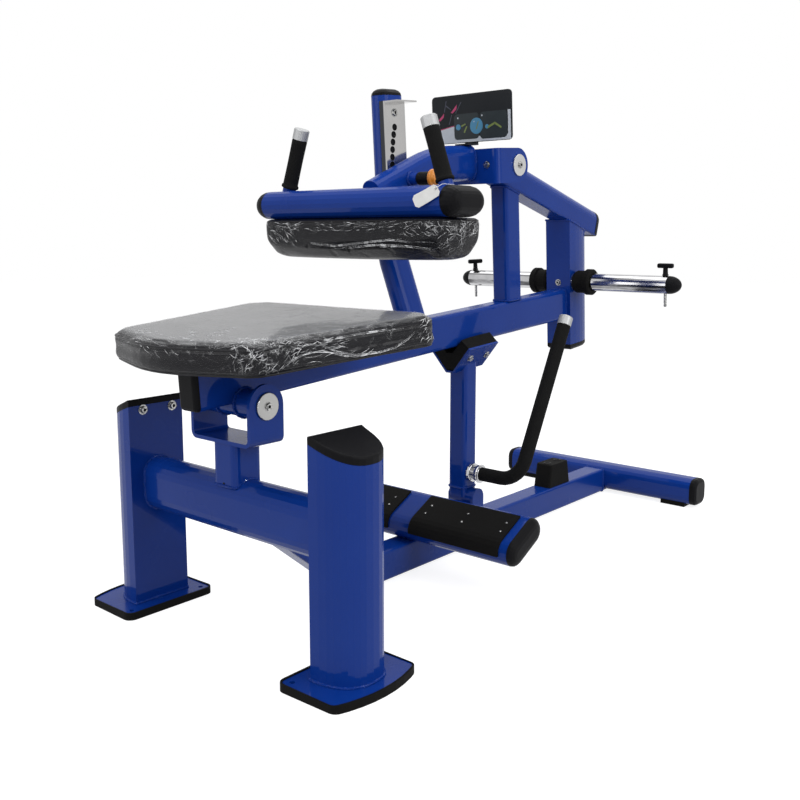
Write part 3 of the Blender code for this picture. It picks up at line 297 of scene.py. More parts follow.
def grainedVinyl():
    finish = Finish(
        "grainedVinylCharcoal", (0.008, 0.008, 0.010), 0.38, Coat_Weight=0.26, Coat_Roughness=0.05,
        Specular_IOR_Level=0.05,
    )
    place = finish.shaken(220.0, 0.0016)
    grain = finish.cells(620.0, "DISTANCE_TO_EDGE", place=place).band(0.0, 0.16)
    cloud = finish.noise(11.0, 5.0, 0.6)
    finish.set("Base Color", finish.blend((0.003, 0.003, 0.005), (0.012, 0.012, 0.015), cloud * grain))
    finish.set("Roughness", 0.30 + cloud * 0.16 - grain * 0.04)
    pebble = finish.bump(grain, 0.00022, 0.6)
    finish.bump(finish.noise(26.0, 3.0), 0.0012, 0.35, pebble)
    return finish.material


def wrapFilm():
    finish = Finish("clearWrapFilm", (0.80, 0.81, 0.83), 0.12, Specular_IOR_Level=0.7)
    crumple = finish.node("ShaderNodeAttribute", {"attribute_name": "crumple"}, output=2)
    # painted sheen: the film's opacity, and so its white, is raised on the seat's top faces
    paintedTopSheen = finish.node("ShaderNodeAttribute", {"attribute_name": "paintedTopSheen"}, output=2)
    place = finish.shaken(13.0, 0.07)

    def creases(scale, sharp):  # thin angular lines, where the cells of a pattern meet
        return (1 - finish.cells(scale, "DISTANCE_TO_EDGE", place=place) * sharp).clamp().power(2.0)

    long = creases(34.0, 24.0) * finish.noise(23.0, 2.0, 0.5, place).band(0.52, 0.62)
    short = creases(110.0, 9.0) * finish.noise(48.0, 2.0, 0.5, place).band(0.54, 0.64)
    haze = finish.noise(19.0, 5.0, 0.65, place).band(0.56, 0.80)
    # the fold lines are whitish: partly the film made more opaque at its folds, partly painted highlights in its
    # white
    foldsAndPaintedHighlights = crumple * (long * 0.36 + short * 0.42 + haze * 0.05)
    finish.set("Alpha", (0.004 + paintedTopSheen * 0.27 + foldsAndPaintedHighlights).clamp())
    finish.set("Roughness", 0.10 + haze * 0.15)
    folds = finish.bump(finish.noise(75.0, 4.0, 0.6, place) * crumple, 0.003, 0.7)
    finish.bump(long + short * 0.6, 0.0010, 0.6, folds)
    finish.material.surface_render_method = "BLENDED"
    return finish.material


def creaseGlint():  # the crests of the film's folds, near-white as painted glints
    finish = Finish("paintedGlintFilm", (0.90, 0.91, 0.93), 0.16, Specular_IOR_Level=0.7)
    finish.set("Alpha", 0.20 + finish.noise(60.0, 2.0).band(0.46, 0.58) * 0.78)
    finish.material.surface_render_method = "BLENDED"
    return finish.material


def turnedSteel(name, centre, colour):  # fine rings round an axis along X
    finish = Finish(name, colour, 0.30, Metallic=1.0)
    centred = finish.vector("SUBTRACT", finish.place, tuple(centre))
    flat = finish.vector("MULTIPLY", centred, (0, 1, 1))
    radius = finish.node("ShaderNodeVectorMath", {"operation": "LENGTH"}, {0: flat}, "Value")
    ringPlace = finish.node("ShaderNodeCombineXYZ", {}, {"X": radius})
    rings = finish.noise(1400.0, 3.0, 0.7, ringPlace)
    smear = finish.noise(40.0, 3.0)
    finish.set("Base Color", finish.blend(tuple(0.78 * c for c in colour), colour, rings))
    finish.set("Roughness", 0.20 + rings * 0.16 + smear * 0.10)
    finish.bump(rings, 0.00006, 0.6)
    return finish.material


def stainlessPlate():
    finish = Finish("stainlessPlate", (0.55, 0.55, 0.55), 0.1, Metallic=1.0)
    lines = finish.noise(700.0, 3.0, 0.7, stretch=(1.0, 1.0, 0.02))
    smear = finish.noise(18.0, 4.0)
    tone = finish.blend((0.36, 0.36, 0.36), (0.52, 0.51, 0.50), smear * 0.6 + lines * 0.4)
    # painted shade: the plate beyond X -0.0335, its return flange toward the tower, is coloured near-black instead
    # of steel
    side = finish.node("ShaderNodeSeparateXYZ", {}, {"Vector": finish.place}).band(-0.0335, -0.0315)
    finish.set("Base Color", finish.blend((0.045, 0.048, 0.055), tone, side))
    finish.set("Roughness", 0.07 + lines * 0.07 + smear * 0.06)
    finish.bump(lines, 0.00004, 0.5)
    return finish.material


def chromePlate(name, reflectionBars=None):
    finish = Finish(name, (0.60, 0.60, 0.61), 0.08, Metallic=1.0)
    drawn = finish.noise(420.0, 2.0, 0.6, stretch=(0.02, 1.0, 1.0))
    smear = finish.noise(25.0, 5.0, 0.6)
    tone = finish.blend((0.34, 0.34, 0.35), (0.66, 0.66, 0.67), smear)
    if reflectionBars:  # painted reflection: dark bands of the surroundings painted along a round bar, by the height on it
        height = finish.node("ShaderNodeSeparateXYZ", {}, {"Vector": finish.place}, 2)
        height = (height - reflectionBars["middle"]) / reflectionBars["radius"]
        line = (1 - (height - 0.52).size() * 11).clamp()
        mottle = finish.noise(60.0, 4.0, 0.65, stretch=(0.16, 1.0, 1.0)).band(0.34, 0.62)
        reflectedBand = height.band(-0.72, -0.58) * (1 - height.band(-0.22, -0.02)) * (0.30 + mottle * 0.62)
        foot = 1 - height.band(-0.99, -0.84)
        # the dark line, band and underside are painted reflection in the base colour
        tone = finish.blend(tone, (0.035, 0.035, 0.040), (line * 0.85 + reflectedBand + foot * 0.8).clamp())
    finish.set("Base Color", tone)
    finish.set("Roughness", 0.05 + smear * 0.10 + drawn * 0.05)
    finish.bump(drawn, 0.00003, 0.4)
    return finish.material


def satinAluminium():
    finish = Finish("satinAluminium", (0.36, 0.37, 0.38), 0.5, Metallic=1.0)
    lines = finish.noise(900.0, 2.0, 0.6, stretch=(1.0, 1.0, 0.3))
    finish.set("Base Color", finish.blend((0.28, 0.285, 0.29), (0.44, 0.445, 0.45), lines))
    finish.set("Roughness", 0.42 + lines * 0.18)
    finish.bump(lines, 0.00003, 0.4)
    return finish.material


def zincScrew():
    finish = Finish("zincScrew", (0.30, 0.30, 0.29), 0.3, Metallic=1.0)
    smear = finish.noise(260.0, 3.0)
    finish.set("Base Color", finish.blend((0.14, 0.14, 0.14), (0.48, 0.48, 0.47), smear.band(0.35, 0.65)))
    finish.set("Roughness", 0.18 + smear * 0.2)
    return finish.material


def plainPlastic(name, colour, roughness=0.4, specular=0.5):
    finish = Finish(name, colour, roughness, Specular_IOR_Level=specular)
    cloud = finish.noise(60.0, 4.0)
    dark = tuple(0.8 * c for c in colour)
    finish.set("Base Color", finish.blend(dark, colour, cloud))
    finish.set("Roughness", roughness - 0.06 + cloud * 0.12)
    finish.bump(finish.noise(1500.0, 2.0), 0.00006, 0.4)
    return finish.material


print("finishes")
paint = powderCoat()
plastic = mouldedPlastic()
rubber = mouldedRubber()
foam = closedCellFoam()
vinyl = grainedVinyl()
film = wrapFilm()
glint = creaseGlint()
shaft = [Vector(corner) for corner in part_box("horn_shaft")]
chrome = chromePlate("chromePlate")
# the horn's chrome carries the painted reflection bands
hornChrome = chromePlate("hornChrome", {
    "middle": (shaft[0].z + shaft[1].z) / 2, "radius": (shaft[1].z - shaft[0].z) / 2,
})
stainless = stainlessPlate()
aluminium = satinAluminium()
zinc = zincScrew()
orange = plainPlastic("orangePlastic", (0.60, 0.20, 0.010), 0.38)
slate = plainPlastic("placardSlate", (0.012, 0.014, 0.017), 0.42, 0.12)
paleGrey = plainPlastic("placardPaleGrey", (0.52, 0.56, 0.61), 0.42)
panelInk = plainPlastic("placardPanelInk", (0.014, 0.022, 0.026), 0.34, 0.25)
panelBlue = plainPlastic("placardBlue", (0.045, 0.22, 0.38), 0.4)
panelGreen = plainPlastic("placardGreen", (0.15, 0.20, 0.04), 0.4)
panelPink = plainPlastic("placardPink", (0.45, 0.02, 0.12), 0.4)
lineGrey = plainPlastic("placardLineGrey", (0.06, 0.065, 0.09), 0.4, 0.2)
white = plainPlastic("whiteCard", (0.80, 0.80, 0.79), 0.5)
frontDisc = turnedSteel("frontDiscSteel", framePivot, (0.40, 0.40, 0.39))
topDisc = turnedSteel("topDiscSteel", armPivot, (0.60, 0.60, 0.59))

slotFinishes = {
    "blue_paint": paint, "black_plastic": plastic, "black_rubber": rubber, "black_foam": foam,
    "black_vinyl": vinyl, "chrome": chrome, "steel": stainless, "aluminium": aluminium,
    "placard_grey": slate,
}
nodeFinishes = {"front_pivot_pin": frontDisc, "top_pivot_pin": topDisc, "horn_shaft": hornChrome}
for part in frame["record"]["subparts"]:
    item = nodes[part["node"]]
    finish = nodeFinishes.get(part["node"], slotFinishes[part["material_slot"]])
    item.data.materials.clear()
    item.data.materials.append(finish)


# Floor and backdrop
ground = {"half": 14.0, "glow": 0.84, "bounce": (0.42, 0.42, 0.43)}


def seenDirectly(tree):  # 1 for a ray from the camera, a mirror or glass
    rays = tree.nodes.new("ShaderNodeLightPath")
    seen = rays.outputs["Is Camera Ray"]
    for kind in ("Is Glossy Ray", "Is Transmission Ray"):
        either = tree.nodes.new("ShaderNodeMath")
        either.operation = "MAXIMUM"
        tree.links.new(seen, either.inputs[0])
        tree.links.new(rays.outputs[kind], either.inputs[1])
        seen = either.outputs[0]
    return seen


def makeStage():
    mesh = bpy.data.meshes.new("floor")
    half = ground["half"]
    corners = [(-half, -half, 0), (half, -half, 0), (half, half, 0), (-half, half, 0)]
    mesh.from_pydata(corners, [], [(0, 1, 2, 3)])
    floor = newObject("floor", mesh)
    floor.location.z = -0.0005
    material = bpy.data.materials.new("floorPale")
    material.use_nodes = True
    tree = material.node_tree
    shader = tree.nodes["Principled BSDF"]
    shader.inputs["Base Color"].default_value = (*ground["bounce"], 1)
    shader.inputs["Roughness"].default_value = 0.9
    shader.inputs["Specular IOR Level"].default_value = 0.0
    glow = tree.nodes.new("ShaderNodeEmission")
    level = tree.nodes.new("ShaderNodeMath")
    level.operation = "MULTIPLY"
    level.inputs[1].default_value = ground["glow"]
    tree.links.new(seenDirectly(tree), level.inputs[0])
    tree.links.new(level.outputs[0], glow.inputs["Strength"])
    both = tree.nodes.new("ShaderNodeAddShader")
    tree.links.new(shader.outputs[0], both.inputs[0])
    tree.links.new(glow.outputs[0], both.inputs[1])
    tree.links.new(both.outputs[0], tree.nodes["Material Output"].inputs["Surface"])
    mesh.materials.append(material)


sky = {"seen": 1.0, "light": 0.42}


def makeWorld():
    world = bpy.data.worlds.new("studio")
    bpy.context.scene.world = world
    world.use_nodes = True
    tree = world.node_tree
    background = tree.nodes["Background"]
    background.inputs["Color"].default_value = (1, 1, 1, 1)
    level = tree.nodes.new("ShaderNodeMapRange")
    level.inputs["To Min"].default_value = sky["light"]
    level.inputs["To Max"].default_value = sky["seen"]
    tree.links.new(seenDirectly(tree), level.inputs["Value"])
    tree.links.new(level.outputs[0], background.inputs["Strength"])


makeCamera()
makeLamps()
makeStage()
makeWorld()
bpy.context.scene.view_settings.view_transform = "Standard"
print("camera, lamps and stage")


# Shapes every piece below is made from
def merged(node):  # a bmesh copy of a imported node, its loose triangles joined
    work = bmesh.new()
    work.from_mesh(nodes[node].data)
    bmesh.ops.remove_doubles(work, verts=work.verts, dist=0.00001)
    return work


def makePiece(name, work, finish, body, angle=35):
    mesh = bpy.data.meshes.new(name)
    bmesh.ops.recalc_face_normals(work, faces=work.faces)
    work.to_mesh(mesh)
    work.free()
    mesh.polygons.foreach_set("use_smooth", [True] * len(mesh.polygons))
    mesh.set_sharp_from_angle(angle=math.radians(angle))
    mesh.materials.append(finish)
    item = newObject(name, mesh)
    if body:
        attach(item, body)
    return item


def basis(axis):  # two directions square to an axis
    axis = Vector(axis).normalized()
    side = axis.cross(upward if abs(axis.z) < 0.9 else across).normalized()
    return axis, side, axis.cross(side)


def around(axis, steps, phase=0.0):  # directions square to an axis, evenly round it
    _, side, up = basis(axis)
    turns = [phase + 2 * math.pi * i / steps for i in range(steps)]
    return [side * math.cos(t) + up * math.sin(t) for t in turns]


def turnedRings(work, origin, axis, profile, steps, phase=0.0):  # (distance, radius) pairs about an axis
    axis = Vector(axis).normalized()
    spokes = around(axis, steps, phase)
    return [
        [work.verts.new(origin + axis * distance + spoke * radius) for spoke in spokes]
        for distance, radius in profile
    ]


def bridge(work, loops):  # faces between each loop of points and the next
    for low, high in zip(loops, loops[1:]):
        for i in range(len(low)):
            k = (i + 1) % len(low)
            work.faces.new((low[i], low[k], high[k], high[i]))


def addTurned(work, origin, axis, profile, steps=48, phase=0.0):  # a closed turned solid
    rings = turnedRings(work, origin, axis, profile, steps, phase)
    bridge(work, rings)
    work.faces.new(rings[0][::-1])
    work.faces.new(rings[-1])


def addRing(work, origin, axis, profile, steps):  # a closed section turned about an axis
    rings = turnedRings(work, origin, axis, profile, steps)
    bridge(work, rings + rings[:1])


def addPlate(work, corners, thickness, normal):  # a flat plate on a closed outline, its face at the corners
    front = [work.verts.new(p) for p in corners]
    rear = [work.verts.new(p - normal * thickness) for p in corners]
    work.faces.new(front)
    work.faces.new(rear[::-1])
    for i in range(len(front)):
        k = (i + 1) % len(front)
        work.faces.new((front[i], rear[i], rear[k], front[k]))


def addBlock(work, centre, axes, size, rounding, segments=3):  # a box with rounded edges
    made = bmesh.ops.create_cube(work, size=1.0)["verts"]
    for vert in made:
        x, y, z = vert.co
        vert.co = centre + axes[0] * x * size[0] + axes[1] * y * size[1] + axes[2] * z * size[2]
    edges = list(dict.fromkeys(edge for vert in made for edge in vert.link_edges))
    bmesh.ops.bevel(work, geom=edges, offset=rounding, segments=segments, profile=0.5, affect="EDGES")


def ordered(edges):  # closed runs of points from loose edges
    links = {}
    for edge in edges:
        a, b = edge.verts
        links.setdefault(a, []).append(b)
        links.setdefault(b, []).append(a)
    loops, seen = [], set()
    for start in links:
        if start in seen:
            continue
        run, here = [start], start
        seen.add(start)
        while True:
            ahead = [v for v in links[here] if v not in seen]
            if not ahead:
                break
            here = ahead[0]
            seen.add(here)
            run.append(here)
        if len(run) > 5:
            loops.append([v.co.copy() for v in run])
    return loops


def cutLoops(work, point, normal):  # outlines where a plane cuts a bmesh, which it uses up
    everything = work.verts[:] + work.edges[:] + work.faces[:]
    made = bmesh.ops.bisect_plane(work, geom=everything, dist=0.000001, plane_co=point, plane_no=normal)
    loops = ordered([item for item in made["geom_cut"] if isinstance(item, bmesh.types.BMEdge)])
    work.free()
    return loops


def sections(node, point, normal):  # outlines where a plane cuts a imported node
    return cutLoops(merged(node), point, normal)


def evened(loop, spacing):  # points at an even distance round a closed outline
    out, left = [], 0.0
    for a, b in zip(loop, loop[1:] + loop[:1]):
        run = (b - a).length
        while left < run:
            out.append(a.lerp(b, left / run))
            left += spacing
        left -= run
    for _ in range(3):
        out = [(out[i - 1] + out[i] * 2 + out[(i + 1) % len(out)]) / 4 for i in range(len(out))]
    return out


trees = {}


def land(node, start, direction):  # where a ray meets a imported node, and the face's outward direction
    if node not in trees:
        work = merged(node)
        trees[node] = BVHTree.FromBMesh(work)
        work.free()
    place, normal, _, _ = trees[node].ray_cast(Vector(start), Vector(direction).normalized())
    if place is None:
        raise ValueError("nothing met on " + node)
    if normal.dot(Vector(direction)) > 0:
        normal = -normal
    return place, normal


def settle(item):  # keep what the modifiers make
    mesh = evaluated(item)
    item.modifiers.clear()
    item.data = mesh


# Geometry Nodes: one wrapper for the trees that repeat screws, weld ripples and stitches
class Pattern:
    def __init__(self, name, sizes):
        self.tree = bpy.data.node_groups.new(name, "GeometryNodeTree")
        face = self.tree.interface
        face.new_socket("Geometry", in_out="INPUT", socket_type="NodeSocketGeometry")
        face.new_socket("Geometry", in_out="OUTPUT", socket_type="NodeSocketGeometry")
        self.names = {}
        for key, value in sizes.items():
            kind = "NodeSocketInt" if isinstance(value, int) else "NodeSocketFloat"
            socket = face.new_socket(key, in_out="INPUT", socket_type=kind)
            socket.default_value = value
            self.names[key] = socket.identifier
        socket = face.new_socket("finish", in_out="INPUT", socket_type="NodeSocketMaterial")
        self.names["finish"] = socket.identifier
        self.start = self.tree.nodes.new("NodeGroupInput").outputs
        self.end = self.tree.nodes.new("NodeGroupOutput").inputs

    def node(self, kind, settings=None, values=None, output=0):
        node = self.tree.nodes.new(kind)
        for key, value in (settings or {}).items():
            setattr(node, key, value)
        for key, value in (values or {}).items():
            for part in value if isinstance(value, list) else [value]:
                if isinstance(part, bpy.types.NodeSocket):
                    self.tree.links.new(part, node.inputs[key])
                else:
                    node.inputs[key].default_value = part
        return node.outputs[output]

    def number(self, operation, *values):
        return self.node("ShaderNodeMath", {"operation": operation}, dict(enumerate(values)))

    def raised(self, geometry, height):
        lift = self.node("ShaderNodeCombineXYZ", {}, {"Z": height})
        return self.node("GeometryNodeTransform", {}, {"Geometry": geometry, "Translation": lift})

    def close(self, instances):
        solid = self.node("GeometryNodeRealizeInstances", {}, {"Geometry": instances})
        flat = self.node("GeometryNodeSetShadeSmooth", {}, {"Geometry": solid, "Shade Smooth": False})
        finish = self.start["finish"]
        painted = self.node("GeometryNodeSetMaterial", {}, {"Geometry": flat, "Material": finish})
        self.tree.links.new(painted, self.end["Geometry"])

    def alongLine(self, piece, **extra):  # a piece at each step of the line, turned along it
        start = self.start
        line = self.node("GeometryNodeMeshToCurve", {}, {"Mesh": start["Geometry"]})
        values = {"Curve": line, "Length": start["spacing"]}
        line = self.node("GeometryNodeResampleCurve", {"mode": "LENGTH"}, values)
        tangent = self.node("GeometryNodeInputTangent")
        turn = self.node("FunctionNodeAlignRotationToVector", {"axis": "Z"}, {"Vector": tangent})
        values = {"Points": line, "Instance": piece, "Rotation": turn, **extra}
        self.close(self.node("GeometryNodeInstanceOnPoints", {}, values))

    def apply(self, item, **sizes):  # run the tree on a piece and keep the result as a plain mesh
        modifier = item.modifiers.new(self.tree.name, "NODES")
        modifier.node_group = self.tree
        for key, value in sizes.items():
            modifier[self.names[key]] = value
        settle(item)


def fastenerPattern():
    pattern = Pattern("fasteners", {
        "sides": 24, "headRadius": 0.008, "topShare": 0.88, "headHeight": 0.006, "keyRadius": 0.004,
        "keyDepth": 0.003, "washerRadius": 0.010, "washerHeight": 0.0015,
    })
    size = pattern.start
    head = pattern.node("GeometryNodeMeshCone", {}, {
        "Vertices": size["sides"], "Radius Bottom": size["headRadius"], "Depth": size["headHeight"],
        "Radius Top": pattern.number("MULTIPLY", size["headRadius"], size["topShare"]),
    })
    key = pattern.node("GeometryNodeMeshCylinder", {}, {
        "Vertices": 6, "Radius": size["keyRadius"],
        "Depth": pattern.number("MULTIPLY", size["keyDepth"], 2.0),
    })
    key = pattern.raised(key, size["headHeight"])
    values = {"Mesh 1": head, "Mesh 2": key}
    cut = pattern.node("GeometryNodeMeshBoolean", {"operation": "DIFFERENCE"}, values)
    cut = pattern.raised(cut, pattern.number("MULTIPLY", size["washerHeight"], 0.98))
    washer = pattern.node("GeometryNodeMeshCylinder", {}, {
        "Vertices": 32, "Radius": size["washerRadius"], "Depth": size["washerHeight"],
    })
    washer = pattern.raised(washer, pattern.number("MULTIPLY", size["washerHeight"], 0.5))
    whole = pattern.node("GeometryNodeJoinGeometry", {}, {"Geometry": [cut, washer]})
    outward = pattern.node(
        "GeometryNodeInputNamedAttribute", {"data_type": "FLOAT_VECTOR"}, {"Name": "outward"}
    )
    turn = pattern.node("FunctionNodeAlignRotationToVector", {"axis": "Z"}, {"Vector": outward})
    pattern.close(pattern.node("GeometryNodeInstanceOnPoints", {}, {
        "Points": size["Geometry"], "Instance": whole, "Rotation": turn,
    }))
    return pattern


def ripplePattern():  # overlapping flattened drops along a line, as a weld leaves
    pattern = Pattern("weldRipples", {"spacing": 0.0026, "radius": 0.0034, "seed": 4})
    values = {"Segments": 8, "Rings": 5, "Radius": pattern.start["radius"]}
    drop = pattern.node("GeometryNodeMeshUVSphere", {}, values)
    scale = pattern.node(
        "FunctionNodeRandomValue", {"data_type": "FLOAT_VECTOR"},
        {"Min": (0.80, 0.85, 0.62), "Max": (1.15, 1.15, 0.90), "Seed": pattern.start["seed"]},
    )
    pattern.alongLine(drop, Scale=scale)
    return pattern


def stitchPattern():
    pattern = Pattern("stitches", {"spacing": 0.0062, "length": 0.0044, "radius": 0.0006})
    values = {"Vertices": 6, "Radius": pattern.start["radius"], "Depth": pattern.start["length"]}
    pattern.alongLine(pattern.node("GeometryNodeMeshCylinder", {}, values))
    return pattern


fasteners = fastenerPattern()
ripples = ripplePattern()
stitching = stitchPattern()


def fasten(name, body, places, finish, **sizes):  # places are (point, outward direction)
    mesh = bpy.data.meshes.new(name)
    mesh.from_pydata([point for point, _ in places], [], [])
    outward = mesh.attributes.new("outward", "FLOAT_VECTOR", "POINT")
    outward.data.foreach_set("vector", [value for _, direction in places for value in direction])
    item = newObject(name, mesh)
    fasteners.apply(item, finish=finish, **sizes)
    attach(item, body)
    return item


def darkSockets(name, body, places, sizes):  # a black piece on the floor of each socket: painted shade
    depth = sizes["washerHeight"] + sizes["headHeight"] - sizes["keyDepth"]
    fasten(
        name + "Sockets", body, places, plastic,
        sides=6, headRadius=sizes["keyRadius"] * 0.96, headHeight=depth + 0.0003, topShare=1.0,
        keyRadius=0.0003, keyDepth=0.0001, washerRadius=0.0004, washerHeight=0.0001,
    )


def lineMesh(name, loops, closed=True):
    points, edges = [], []
    for loop in loops:
        first = len(points)
        points += loop
        edges += [(first + i, first + i + 1) for i in range(len(loop) - 1)]
        if closed:
            edges.append((len(points) - 1, first))
    mesh = bpy.data.meshes.new(name)
    mesh.from_pydata(points, edges, [])
    item = newObject(name, mesh)
    return item


def newCurve(name, depth, resolution):
    curve = bpy.data.curves.new(name, "CURVE")
    curve.dimensions = "3D"
    curve.bevel_depth = depth
    curve.bevel_resolution = resolution
    return curve


def addSpline(curve, points):
    spline = curve.splines.new("POLY")
    spline.points.add(len(points) - 1)
    for knot, point in zip(spline.points, points):
        knot.co = (*point, 1)
    return spline


def curveSurface(name, curve):  # a bmesh of a curve's round surface
    item = newObject(name + "Line", curve)
    mesh = evaluated(item)
    bpy.data.objects.remove(item)
    work = bmesh.new()
    work.from_mesh(mesh)
    return work


def tube(name, points, radius, finish, body, closed=False):  # a round tube along points
    curve = newCurve(name, radius, 4)
    curve.use_fill_caps = True
    addSpline(curve, points).use_cyclic_u = closed
    work = curveSurface(name, curve)
    bmesh.ops.remove_doubles(work, verts=work.verts, dist=0.000005)
    return makePiece(name, work, finish, body, 60)


# Fasteners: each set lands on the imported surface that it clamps
screwSizes = ("headRadius", "headHeight", "topShare", "keyRadius", "keyDepth", "washerRadius", "washerHeight")
screws = {
    "uprightBolts": (0.0082, 0.0070, 0.82, 0.0040, 0.0036, 0.0112, 0.0014),
    "saddleBolts": (0.0076, 0.0052, 0.94, 0.0018, 0.0006, 0.0098, 0.0014),
    "webBolts": (0.0072, 0.0048, 0.94, 0.0018, 0.0006, 0.0092, 0.0013),
    "postBolt": (0.0075, 0.0050, 0.80, 0.0036, 0.0032, 0.0092, 0.0010),
    "front_pivot_pinScrews": (0.0078, 0.0034, 0.84, 0.0038, 0.0026, 0.0092, 0.0006),
    "top_pivot_pinScrews": (0.0078, 0.0034, 0.84, 0.0038, 0.0026, 0.0092, 0.0006),
    "plateScrew": (0.0084, 0.0026, 0.84, 0.0040, 0.0020, 0.0104, 0.0006),
    "bumperCups": (0.0125, 0.0016, 0.92, 0.0070, 0.0012, 0.0130, 0.0006),
    "drainHoleShade": (0.0032, 0.0003, 0.95, 0.0008, 0.0001, 0.0010, 0.0001),
    "treadRivets": (0.0026, 0.0010, 0.7, 0.0009, 0.0004, 0.0001, 0.0006),
    "treadRivetCups": (0.0052, 0.0007, 0.8, 0.0010, 0.0001, 0.0053, 0.0003),
}


def addScrews(name, body, spots, finish, sockets=False, **more):
    sizes = dict(zip(screwSizes, screws[name]))
    fasten(name, body, spots, finish, **sizes, **more)
    if sockets:
        darkSockets(name, body, spots, sizes)


upright = {"places": ((-0.7189, 0.4510), (-0.6426, 0.4500)), "inside": 0.2}
saddle = {"places": ((0.0486, 0.5147), (0.1214, 0.5167)), "x": 0.045, "slope": (0.77, 0, -0.64)}
web = {"x": 0.0585, "z": 1.0041}
disc = {"reach": 0.3, "pins": (("front_pivot_pin", framePivot), ("top_pivot_pin", armPivot))}
bumper = {"apart": 0.028, "sunk": 0.0006}


def boltedSets():
    spots = []
    for side, node in ((-1, "upright_left"), (1, "upright_right")):
        spots += [land(node, (side * upright["inside"], y, z), across * side) for y, z in upright["places"]]
    addScrews("uprightBolts", "base", spots, zinc, sockets=True)

    spots = []
    for side in (-1, 1):
        x, y, z = saddle["slope"]
        out = Vector((side * x, y, z))
        for y, z in saddle["places"]:
            spots.append(land("stop_post", Vector((side * saddle["x"], y, z)) + out * 0.06, -out))
    addScrews("saddleBolts", "stop", spots, zinc, sides=6)

    spots = [land("arm_clevis", (side * web["x"], -0.05, web["z"]), (0, 1, 0)) for side in (-1, 1)]
    addScrews("webBolts", "arm", spots, zinc, sides=6)

    spots = [land("rear_post", (0, 0.45, 0.6893), (0, 1, 0))]
    addScrews("postBolt", "frame", spots, zinc, sockets=True)

    for node, pivot in disc["pins"]:
        spots = [land(node, pivot + across * side * disc["reach"], (-side, 0, 0)) for side in (-1, 1)]
        addScrews(node + "Screws", bodyOf[node], spots, zinc, sockets=True)

    spots = [land("adjuster_plate", (0.2, -0.1645, 1.1148), (-1, 0, 0))]
    addScrews("plateScrew", "frame", spots, zinc, sockets=True)

    low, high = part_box("bumper")
    middle = (low.y + high.y) / 2
    level = high.z - bumper["sunk"]
    spots = [(Vector((0, middle + side * bumper["apart"], level)), upward) for side in (-1, 1)]
    addScrews("bumperCups", "base", spots, plastic)

    # a thin black disc on the clevis stands for the drain hole: painted shade
    addScrews("drainHoleShade", "base", [land("front_clevis", (0, -0.9, 0.3330), (0, 1, 0))], plastic)


def seenAt(px, py, node):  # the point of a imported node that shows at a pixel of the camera's picture
    return land(node, view["place"], fromCamera(px, py))


# Pixels of the rivets on the right tread; the left tread mirrors them
rivetPixels = ((432.1, 505.7), (425.4, 513.1), (468.3, 513.9), (461.7, 521.7), (506.7, 522.9), (500.3, 531.4))
rivetSunk = 0.0004


def riveted():
    right = [seenAt(px, py, "foot_tread_right") for px, py in rivetPixels]
    left = [(Vector((-p.x, p.y, p.z)), d) for p, d in right]
    spots = [(point - direction * rivetSunk, direction) for point, direction in right + left]
    addScrews("treadRivets", "base", spots, zinc, sides=12)
    addScrews("treadRivetCups", "base", spots, plastic, sides=16)


bodyOf = {
    node: body for body, group in frame["record"]["behaviour"]["bodies"].items() for node in group
}
boltedSets()
riveted()
print("fasteners")


def boxMiddle(node):
    low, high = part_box(node)
    return (low + high) / 2


# Weld beads: outlines cut from the joined tubes, rippled
def weldLines():
    welds = {"base": [], "stop": [], "frame": [], "arm": []}
    for side in (-1, 1):
        welds["base"] += sections("cross_tube", Vector((side * 0.2766, 0, 0)), across)
        node = "upright_left" if side < 0 else "upright_right"
        welds["base"] += sections(node, upward * 0.0155, upward)
    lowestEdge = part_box("front_clevis")[0].z
    pedestal = evened(sections("front_clevis", Vector((0, 0, 0.3432)), upward)[0], 0.004)
    levels = [land("cross_tube", p + upward * 0.1, -upward)[0].z for p in pedestal]
    welds["base"].append([
        Vector((p.x, p.y, max(level, lowestEdge))) for p, level in zip(pedestal, levels)
    ])
    welds["base"] += sections("floor_beam", Vector((0, 0.7962, 0)), Vector((0, 1, 0)))
    for node in ("mid_post", "tower"):
        foot = lowestAlong(node, swingUp)
        welds["frame"] += sections(node, swingUp * (foot + 0.0015), swingUp)
    for node in ("mid_post", "rear_post"):
        welds["frame"] += topLoop(node)
    welds["frame"] += [beamEnd()]
    for side in (-1, 1):
        welds["frame"].append(ringAt(framePivot + across * side * 0.0285, across, 0.0300))
    welds["arm"] += sections("arm_tube", armPivot - swingBack * 0.0962, swingBack)
    pull = boxMiddle("pull_pin")
    welds["arm"].append(ringAt(Vector((0.0285, pull.y, pull.z)), across, 0.0146))
    welds["stop"] += sections("stop_post", Vector((0, 0, stopPivot.z + 0.0245)), upward)
    return welds


def lowestAlong(node, axis):
    return min(v.co.dot(axis) for v in nodes[node].data.vertices)


def ringAt(centre, axis, radius, steps=40):
    return [centre + spoke * radius for spoke in around(axis, steps)]


def topLoop(node):  # the slanted upper end of a post, its edges all on one plane
    work = merged(node)
    normal = swingUp * math.cos(topSlope) + swingBack * math.sin(topSlope)
    level = max(v.co.dot(normal) for v in work.verts)
    work.free()
    return sections(node, normal * (level - 0.0015), normal)


def beamEnd():  # where the main beam meets the rear post's flat face
    end = max(v.co.dot(swingBack) for v in nodes["main_beam"].data.vertices)
    return sections("main_beam", swingBack * (end - 0.0015), swingBack)[0]


for body, loops in weldLines().items():
    item = lineMesh(body + "Welds", loops)
    ripples.apply(item, finish=paint)
    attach(item, body)
    print("welds on", body, len(loops), len(item.data.polygons))


